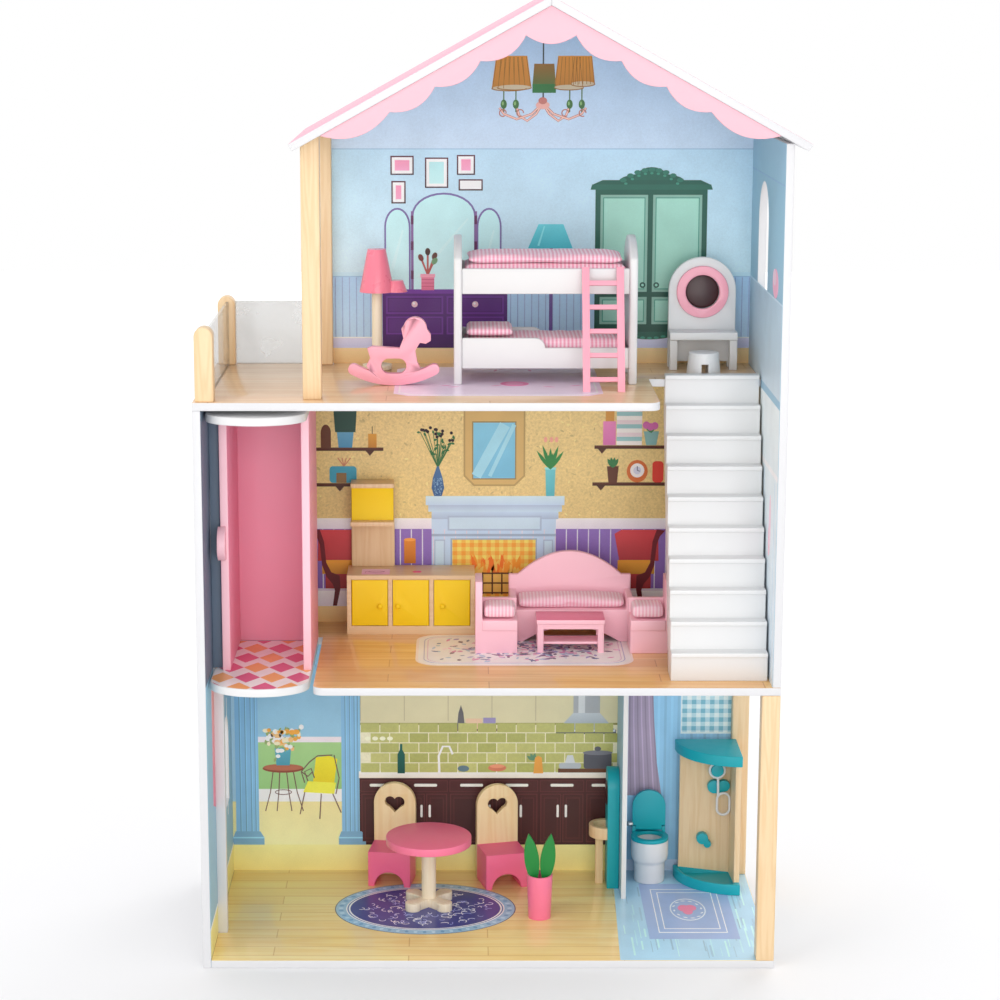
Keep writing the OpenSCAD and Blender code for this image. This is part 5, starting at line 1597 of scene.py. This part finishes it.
# %% [markdown]
# ### Blind, floor prints and rugs
# The rugs are printed on the floor boards, so they are collages too, lying flat. The bathroom has
# its own blue floor and a framed mat; the lift's floor is a harlequin of rose, orange and cream.

# %% The bathroom's checked blind
blind = Collage(wall_place(left_in, ground_z))
BLIND_BLUE = (124, 180, 198)
for i in range(6):
    blind.rect(546 + i * 11, 176, 551.5 + i * 11, ground_storey, (186, 216, 224), 8)
for j in range(12):
    blind.rect(545, 178 + j * 11, ground_wide, 183.5 + j * 11, (182, 212, 222), 9)
    for i in range(6):
        blind.rect(546 + i * 11, 178 + j * 11, 551.5 + i * 11, 183.5 + j * 11, BLIND_BLUE, 10)
blind.finish("bathroom_blind_print", print_paper, "kitchen_print")

# %% Bathroom floor and mat
bath = Collage(floor_place(ground_z))
bath_left = span("bath_partition")[0].x - 10
deep = panel_y - front_y
BATH_FLOOR, MAT = (172, 208, 228), (158, 178, 216)
bath.shape([(bath_left - 3, 1.2), (right_in + 8, 1.2), (right_in + 8, deep), (bath_left + 6, deep)],
           BATH_FLOOR, 0, tint(BATH_FLOOR, 1.03))
streak_random = random.Random(3)
for _ in range(90):
    u, v = streak_random.uniform(bath_left + 6, right_in + 4), streak_random.uniform(4, deep - 60)
    gain = streak_random.choice((0.9, 0.95, 1.08, 1.14))
    bath.rect(u, v, u + streak_random.uniform(0.6, 2.4), v + streak_random.uniform(24, 60),
              tint(BATH_FLOOR, gain), 1)
bath.rect(184, 65, 287, 246, MAT, 2)
for inset, ink in ((12, (240, 244, 252)), (13.2, MAT), (19, (240, 244, 252)), (20.2, MAT)):
    bath.rect(184 + inset, 65 + inset * 1.6, 287 - inset, 246 - inset * 1.6, ink, 3 + inset / 4)
bath.oval(235.5, 158, 21, 36, (226, 230, 246), 9, 28)
bath.oval(235.5, 158, 19.5, 33.5, MAT, 10, 28)
for u, v, half_u, half_v in ((231, 162, 7, 11), (239, 163, 7, 10), (235, 152, 6, 11)):
    bath.oval(u, v, half_u, half_v, (238, 132, 168), 11, 14)
for angle in range(0, 360, 30):
    turn = math.radians(angle)
    bath.leaf(235.5 + 16 * math.cos(turn), 158 + 28 * math.sin(turn), 7, 2.4, angle + 90,
              (236, 236, 248), 11)
bath.finish("bathroom_floor_print", floor_print, "floor_board")

# %% Kitchen rug
rug = Collage(floor_place(ground_z))
RUG_MIDDLE = (-72, 163.5)
for half_u, half_v, ink in ((106, 84, (60, 66, 110)), (105, 83, (150, 190, 216)),
                            (93, 71, (246, 244, 250)), (91.5, 69.5, (84, 116, 172)),
                            (90, 68, (246, 244, 250)), (88, 66, (62, 70, 140))):
    rug.oval(*RUG_MIDDLE, half_u, half_v, ink, 0.6 * (107 - half_u) ** 0.5 + 0.2, 72)
scribble = random.Random(21)
for _ in range(150):
    angle, reach = scribble.uniform(0, 2 * math.pi), scribble.uniform(0.1, 0.88) ** 0.6
    u = RUG_MIDDLE[0] + 84 * reach * math.cos(angle)
    v = RUG_MIDDLE[1] + 61 * reach * math.sin(angle)
    bend = scribble.uniform(0, 360)
    rug.stroke(arc(u, v, scribble.uniform(2, 5), scribble.uniform(2, 4.6), bend, bend + 190, 6),
               0.9, scribble.choice(((214, 218, 244), (160, 168, 222), (236, 238, 252))), 5)
for i in range(60):
    turn = 2 * math.pi * i / 60
    rug.oval(RUG_MIDDLE[0] + 99 * math.cos(turn), RUG_MIDDLE[1] + 77 * math.sin(turn), 3, 2.2,
             (112, 158, 196) if i % 2 else (186, 214, 232), 4, 8, tilt=math.degrees(turn))
rug.finish("kitchen_rug_print", floor_print, "floor_board")

# %% Living room rug
carpet = Collage(floor_place(living_z))
for inset, ink in ((0, (236, 224, 216)), (3, (246, 238, 232)), (9, (178, 180, 206)),
                   (10.2, (246, 238, 232)), (13, (214, 186, 206)), (14, (244, 236, 232))):
    carpet.rounded(-82 + inset, 93 + inset, 165 - inset, 232 - inset, 26 - inset * 0.6, ink,
                   inset * 0.4)
petals = random.Random(31)
for _ in range(420):
    u, v = petals.gauss(42, 50), petals.gauss(163, 27)
    if -62 < u < 146 and 112 < v < 214:
        carpet.leaf(u, v, petals.uniform(6, 15), petals.uniform(2.6, 6), petals.uniform(0, 360),
                    petals.choice(((208, 140, 178), (158, 150, 196), (100, 116, 150),
                                   (228, 186, 206), (176, 200, 216), (112, 92, 120),
                                   (238, 222, 226))), 7)
carpet.finish("living_rug_print", floor_print, "floor_board")

# %% Bedroom rug, and the sheet on the sideboard
mat = Collage(floor_place(attic_z))
for inset, ink in ((0, (238, 214, 232)), (5, (250, 238, 246)), (7, (240, 218, 236))):
    u0, u1, v0, v1, cut = -104 + inset, 124 - inset, 47 + inset, 262 - inset, 16
    mat.shape([(u0 + cut, v0), (u1 - cut, v0), (u1, v0 + cut), (u1, v1 - cut), (u1 - cut, v1),
               (u0 + cut, v1), (u0, v1 - cut), (u0, v0 + cut)], ink, inset * 0.4)
mat.oval(29, 132, 16, 17, (232, 130, 176), 4, 24)
mat.oval(29, 132, 10, 11, (240, 160, 196), 5, 20)
for u, v, angle in ((-32, 112, 200), (-40, 116, 160), (2, 116, 20), (60, 112, 340), (90, 116, 20),
                    (8, 226, 80), (50, 226, 100)):
    mat.leaf(u, v, 14, 4, angle, (226, 150, 190), 4)
mat.finish("bedroom_rug_print", floor_print, "floor_board")

paper_sheet = Collage(lambda u, v, h: ((case_low.x + u) * MM, (case_low.y + v) * MM,
                                       (case_high.z + h) * MM))
paper_sheet.rect(17, 6, 50, 34, (246, 200, 226), 0, (238, 176, 210))
paper_sheet.stroke(arc(33, 18, 12, 6, 20, 200), 1.0, (196, 110, 160), 1)
paper_sheet.stroke(arc(34, 22, 9, 5, 190, 360), 1.0, (160, 90, 150), 1)
for u in (80, 84):
    paper_sheet.oval(u, 20, 3.4, 5, (232, 96, 130), 1, 12)
paper_sheet.finish("sideboard_top_print", print_paper, "pine", body_of_node("sideboard_case"))

# %% Harlequin floor of the lift
lift_low, lift_high = span("lift_floor")
lift_middle = (lift_low.x + lift_high.x) / 2
half_lift = (lift_high.x - lift_low.x) / 2 - 1.2
NOSE, CABIN_DEPTH = 40, 130
outline = [(lift_middle - half_lift * math.cos(math.pi * i / 24),
            lift_low.y + NOSE - (NOSE - 1.5) * math.sin(math.pi * i / 24)) for i in range(25)]
outline += [(lift_middle + side * half_lift, wall_front + CABIN_DEPTH) for side in (1, -1)]
check_floor = Collage(lambda u, v, h: (u * MM, v * MM, (lift_high.z + h) * MM), outline)
check_floor.shape(outline, (250, 232, 230), 0)
DIAMOND = (28.5, 42.0)
for j in range(7):
    for i in range(-1, 6):
        u = lift_low.x + 4 + (i + 0.25 * (j % 3)) * DIAMOND[0]
        v = lift_low.y + 8 + j * DIAMOND[1]
        ink = ((214, 92, 132), (246, 168, 96))[(i + j) % 2]
        check_floor.shape([(u - DIAMOND[0] / 2, v), (u, v - DIAMOND[1] / 2),
                           (u + DIAMOND[0] / 2, v), (u, v + DIAMOND[1] / 2)], ink, 1)
check_floor.finish("lift_floor_print", floor_print, "lift_pink", "lift")

# %% [markdown]
# ### Prints on the side walls
# The inner faces of the side walls carry simple prints: a white dado with a rail on the right, a
# drape and a painted window surround on the left. The soft pink ovals on the right wall are a
# painted pink reflection, not print.


# %% Side wall prints
def side_place(face_x, toward, floor):
    """Places u back from the front edge and v up, on a side wall that faces along X."""
    return lambda u, v, h: ((face_x + toward * h) * MM, (front_y + u) * MM, (floor + v) * MM)


right_bedroom = Collage(side_place(right_in, -1, attic_z))
right_bedroom.rect(2, 0, deep, 102, (176, 204, 220), 1, (194, 212, 222))
right_bedroom.rect(2, 102, deep, 104, (196, 220, 234), 2)
# The two pink ovals are a painted pink reflection on the wall, not print.
right_bedroom.oval(62, 120, 24, 16, (236, 176, 200), 3, 20)
right_bedroom.oval(70, 126, 14, 9, (246, 204, 220), 4, 16)
right_bedroom.rect(2, 228, deep, 229.4, (140, 176, 206), 1)
right_bedroom.finish("bedroom_side_print_and_reflection", print_paper, "printed_wall")
right_living = Collage(side_place(right_in, -1, living_z))
right_living.rect(2, 0, deep, storey, (226, 236, 242), 1, (206, 222, 234))
right_living.rect(2, 226, deep, 232, (244, 246, 248), 2)
# The two pink ovals are a painted pink reflection on the wall, not print.
right_living.oval(60, 168, 9, 34, (246, 206, 218), 2, 20)
right_living.oval(66, 150, 5, 18, (242, 188, 206), 3, 16)
for u in (24, 118, 206):
    right_living.rect(u, 8, u + 2.4, 222, (190, 212, 228), 2)
right_living.finish("living_side_print_and_reflection", print_paper, "printed_wall")
left_kitchen = Collage(side_place(left_in, 1, ground_z))
left_kitchen.rect(2, 0, deep, 33, (238, 226, 150), 1)
left_kitchen.rect(2, 33, deep, 36, (244, 246, 248), 2)
left_kitchen.shape([(86, 150), (120, 190), (128, ground_storey), (60, ground_storey), (60, 160)],
                   (236, 170, 160), 3, (214, 120, 150))
for i in range(5):
    left_kitchen.stroke([(68 + i * 9, 170), (70 + i * 11, ground_storey - 2)], 1.4,
                        (206, 110, 130), 4)
for u in (148, 232):
    left_kitchen.rect(u, 92, u + 4, 236, (236, 242, 248), 2)
left_kitchen.finish("kitchen_side_print", print_paper, "printed_wall")

# %% [markdown]
# ## Mattresses, quilt, pillow and seat pads
# The bedding and the seat pads are cotton covers over wadding. Each starts as a rounded slab a
# little smaller than its space, is remeshed to an even grid, and is blown up by cloth pressure
# with no gravity. The swelling is then held to a few millimetres and kept out of the boards round
# it, so a pad is flat where it lies and crowned where it is free.


# %% A slab of wadding
def slab(name, low, high, shrink, round_mm):
    """A slab between two corners in millimetres, made smaller, with rounded edges."""
    work = bmesh.new()
    bmesh.ops.create_cube(work, size=1.0)
    for vertex in work.verts:
        for axis in range(3):
            edge = low[axis] + shrink if vertex.co[axis] < 0 else high[axis] - shrink
            vertex.co[axis] = edge * MM
    bmesh.ops.bevel(work, geom=work.edges[:], offset=round_mm * MM, segments=3, profile=0.6,
                    affect="EDGES", clamp_overlap=True)
    mesh = bpy.data.meshes.new(name)
    work.to_mesh(mesh)
    work.free()
    return mesh


def even_grid(carrier, voxel_mm):
    """Remeshes the carrier to an even grid, and gives the new points."""
    remesh = carrier.modifiers.new("even_grid", "REMESH")
    remesh.mode = "VOXEL"
    remesh.voxel_size = voxel_mm * MM
    even = evaluated_mesh(carrier)
    carrier.modifiers.clear()
    carrier.data = even
    return [vertex.co.copy() for vertex in even.vertices]


# %% [markdown]
# The cloth solver blows the slab up from inside. Gravity is off, so a pad swells evenly, and the
# last frame's shape is kept as the mesh.

# %% Blow it up
CLOTH_FRAMES = 20


def inflate(carrier):
    """Swells the carrier by cloth pressure and keeps the last frame."""
    blown = carrier.modifiers.new("pressure", "CLOTH")
    blown.settings.use_pressure = True
    blown.settings.uniform_pressure_force = 4.0
    blown.settings.quality = 4
    blown.settings.mass = 0.2
    blown.settings.effector_weights.gravity = 0.0
    blown.point_cache.frame_start = 1
    blown.point_cache.frame_end = CLOTH_FRAMES
    for moment in range(1, CLOTH_FRAMES + 1):
        bpy.context.scene.frame_set(moment)
    carrier.data = evaluated_mesh(carrier)
    carrier.modifiers.clear()
    bpy.context.scene.frame_set(1)


# %% [markdown]
# A real pad can't go through the board under it, its top is a little wavy, and it has a dent where
# it was last pressed. Each point is held to a cap and to the room round it, and then the top half
# gets its ripple and its dents.

# %% Settle it in its place
SKIN = 0.0002


def settle(points, start, low, high, cap_mm, crown_mm, ripple_mm, dents):
    """Caps each point's way from its start, and shapes the top half. Gives the longest way."""
    lowest, highest = [v * MM for v in low], [v * MM for v in high]
    moved = 0.0
    for vertex, first in zip(points, start):
        step = vertex.co - first
        if step.length > cap_mm * MM:
            step.length = cap_mm * MM
        co = first + step
        for axis in range(3):
            top = highest[axis] + (crown_mm * MM if axis == 2 else 0)
            co[axis] = min(max(co[axis], lowest[axis] + SKIN), top - SKIN)
        above = max(0.0, (co.z - lowest[2]) / (highest[2] - lowest[2]) - 0.5)
        wave = math.sin(co.x * 310 + math.sin(co.y * 190) * 2) * math.sin(co.y * 260 + 1.3)
        co.z += above * 2 * ripple_mm * MM * wave
        for place, reach, depth in dents:
            away = math.hypot(co.x / MM - place[0], co.y / MM - place[1]) / reach
            co.z -= above * 2 * depth * MM * math.exp(-away * away * 2)
        moved = max(moved, (co - first).length / MM)
        vertex.co = co
    return moved


# %% Make a whole pad
def stuffed(name, low, high, finish, body, slot_name, replaced=(), cap_mm=4.0, crown_mm=2.0,
            round_mm=4.0, dents=(), voxel_mm=3.0, ripple_mm=0.35, shrink_mm=1.6):
    """A stuffed cloth pad that fills the space between two corners."""
    carrier = bpy.data.objects.new(name + "_carrier", slab(name, low, high, shrink_mm, round_mm))
    bpy.context.scene.collection.objects.link(carrier)
    start = even_grid(carrier, voxel_mm)
    inflate(carrier)
    moved = settle(carrier.data.vertices, start, low, high, cap_mm, crown_mm, ripple_mm, dents)
    smooth = carrier.modifiers.new("finer", "SUBSURF")
    smooth.levels = smooth.render_levels = 1
    finished = evaluated_mesh(carrier)
    bpy.data.objects.remove(carrier)
    finished.name = name
    finished.materials.clear()
    finished.materials.append(finish)
    finished.shade_smooth()
    made = place_piece(name, finished, body, slot_name, replaced)
    print(name, "faces:", len(finished.polygons), "moved at most", round(moved, 1), "mm")
    return made


# %% [markdown]
# Each bunk has a flat mattress. The upper one carries a slack quilt, the lower one a fuller pillow,
# and both have a shallow dent.

# %% Bedding
bed_low, bed_high = span("bunk_mattress_upper")
COVER, GAP = 10, 0.5
upper_top = bed_high.z - COVER
stuffed("upper_mattress", (bed_low.x, bed_low.y, bed_low.z), (bed_high.x, bed_high.y, upper_top),
        bedding, "bunk_bed", "gingham", ["bunk_mattress_upper"], crown_mm=0.2)
stuffed("upper_quilt", (bed_low.x + 3, bed_low.y + 2, upper_top + GAP),
        (bed_high.x - 3, bed_high.y - 2, bed_high.z - 1), bedding, "bunk_bed", "gingham",
        cap_mm=3, crown_mm=1.6, round_mm=3.6, ripple_mm=0.5,
        dents=(((bed_low.x + 52, bed_low.y + 40), 16, 1.6),))
low_bed, high_bed = span("bunk_mattress_lower")
lower_top = high_bed.z - COVER
stuffed("lower_mattress", (low_bed.x, low_bed.y, low_bed.z), (high_bed.x, high_bed.y, lower_top),
        bedding, "bunk_bed", "gingham", ["bunk_mattress_lower"], crown_mm=0.4, ripple_mm=0.6)
PILLOW_LENGTH = 55
stuffed("lower_pillow", (low_bed.x + 3, low_bed.y + 6, lower_top + GAP + 0.3),
        (low_bed.x + 3 + PILLOW_LENGTH, high_bed.y - 6, high_bed.z + 2), bedding, "bunk_bed",
        "gingham", cap_mm=5, crown_mm=4, round_mm=5,
        dents=(((low_bed.x + 32, (low_bed.y + high_bed.y) / 2), 18, 1.8),))

# %% [markdown]
# The sofa and the armchairs have tight striped pads that crown a little above their frames.

# %% Seat pads
sofa_low, sofa_high = span("sofa_pad")
stuffed("sofa_seat_pad", sofa_low, sofa_high, pad_cloth, body_of_node("sofa_pad"), "gingham",
        ["sofa_pad"], cap_mm=4, crown_mm=3, round_mm=5)
for side in ("left", "right"):
    node_name = f"armchair_{side}_pad"
    pad_low, pad_high = span(node_name)
    stuffed(f"armchair_{side}_seat_pad", pad_low, pad_high, pad_cloth, body_of_node(node_name),
            "gingham", [node_name], cap_mm=4, crown_mm=2.5, round_mm=4)

# %% [markdown]
# ## Small fittings
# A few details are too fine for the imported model: the dark mirror in the vanity's ring, the oval
# mirror on the wash stand and the flush lever. One lathe makes all three, and the oval is a disc
# stretched one way.


# %% A small lathe
def turned(name, profile, middle, axis, finish, body, slot_name, steps=40, squeeze=1.0):
    """A closed turned piece: profile holds (radius, distance along the axis) in millimetres."""
    work = bmesh.new()
    rings = []
    for radius, along_axis in profile:
        ring = []
        for i in range(steps if radius > 0 else 1):
            a = 2 * math.pi * i / steps
            ring.append(work.verts.new((radius * math.cos(a), radius * squeeze * math.sin(a),
                                        along_axis)))
        rings.append(ring)
    for a, b in zip(rings, rings[1:]):
        for i in range(steps):
            j = (i + 1) % steps
            corners = [a[i % len(a)], a[j % len(a)], b[j % len(b)], b[i % len(b)]]
            unique = [v for k, v in enumerate(corners) if v not in corners[:k]]
            if len(unique) > 2:
                work.faces.new(unique)
    turn = Vector((0, 0, 1)).rotation_difference(Vector(axis)).to_matrix().to_4x4()
    work.transform(Matrix.Translation(Vector(middle) * MM) @ turn @ Matrix.Scale(MM, 4))
    bmesh.ops.recalc_face_normals(work, faces=work.faces)
    mesh = bpy.data.meshes.new(name)
    mesh.materials.append(finish)
    work.to_mesh(mesh)
    work.free()
    mesh.shade_smooth()
    mesh.set_sharp_from_angle(angle=math.radians(40))
    return place_piece(name, mesh, body, slot_name)


# %% Mirrors and flush lever
ring_low, ring_high = span("vanity_mirror_ring")
ring_middle = ((ring_low.x + ring_high.x) / 2, ring_high.y + 1.5, (ring_low.z + ring_high.z) / 2)
turned("vanity_mirror_glass", ((0, 0), (18.0, 0.0), (19.2, -0.6), (19.2, -2.5), (0, -2.5)),
       ring_middle, (0, -1, 0), dark_mirror, "vanity", "pink_wood")
wash_mid = (wash_low.y + wash_high.y) / 2
turned("wash_stand_mirror", ((0, 1.2), (13, 1.2), (14.5, 0.4), (14.5, -0.2), (0, -0.2)),
       (board_face, wash_mid, wash_high.z - 32), (-1, 0, 0), dark_mirror, "washstand",
       "turquoise", squeeze=1.3)
lever_low, lever_high = span("toilet_seat")
turned("toilet_flush_lever", ((0, 0), (2.6, 0), (3.2, 0.8), (3.2, 6), (2.4, 7), (0, 7)),
       (lever_low.x + 3.2, lever_high.y - 6, lever_high.z + 3), (-1, 0, 0), zinc, "toilet",
       "white_plastic", steps=24)
print("turned fittings: 3, mirror ring middle at", [round(v, 1) for v in ring_middle])
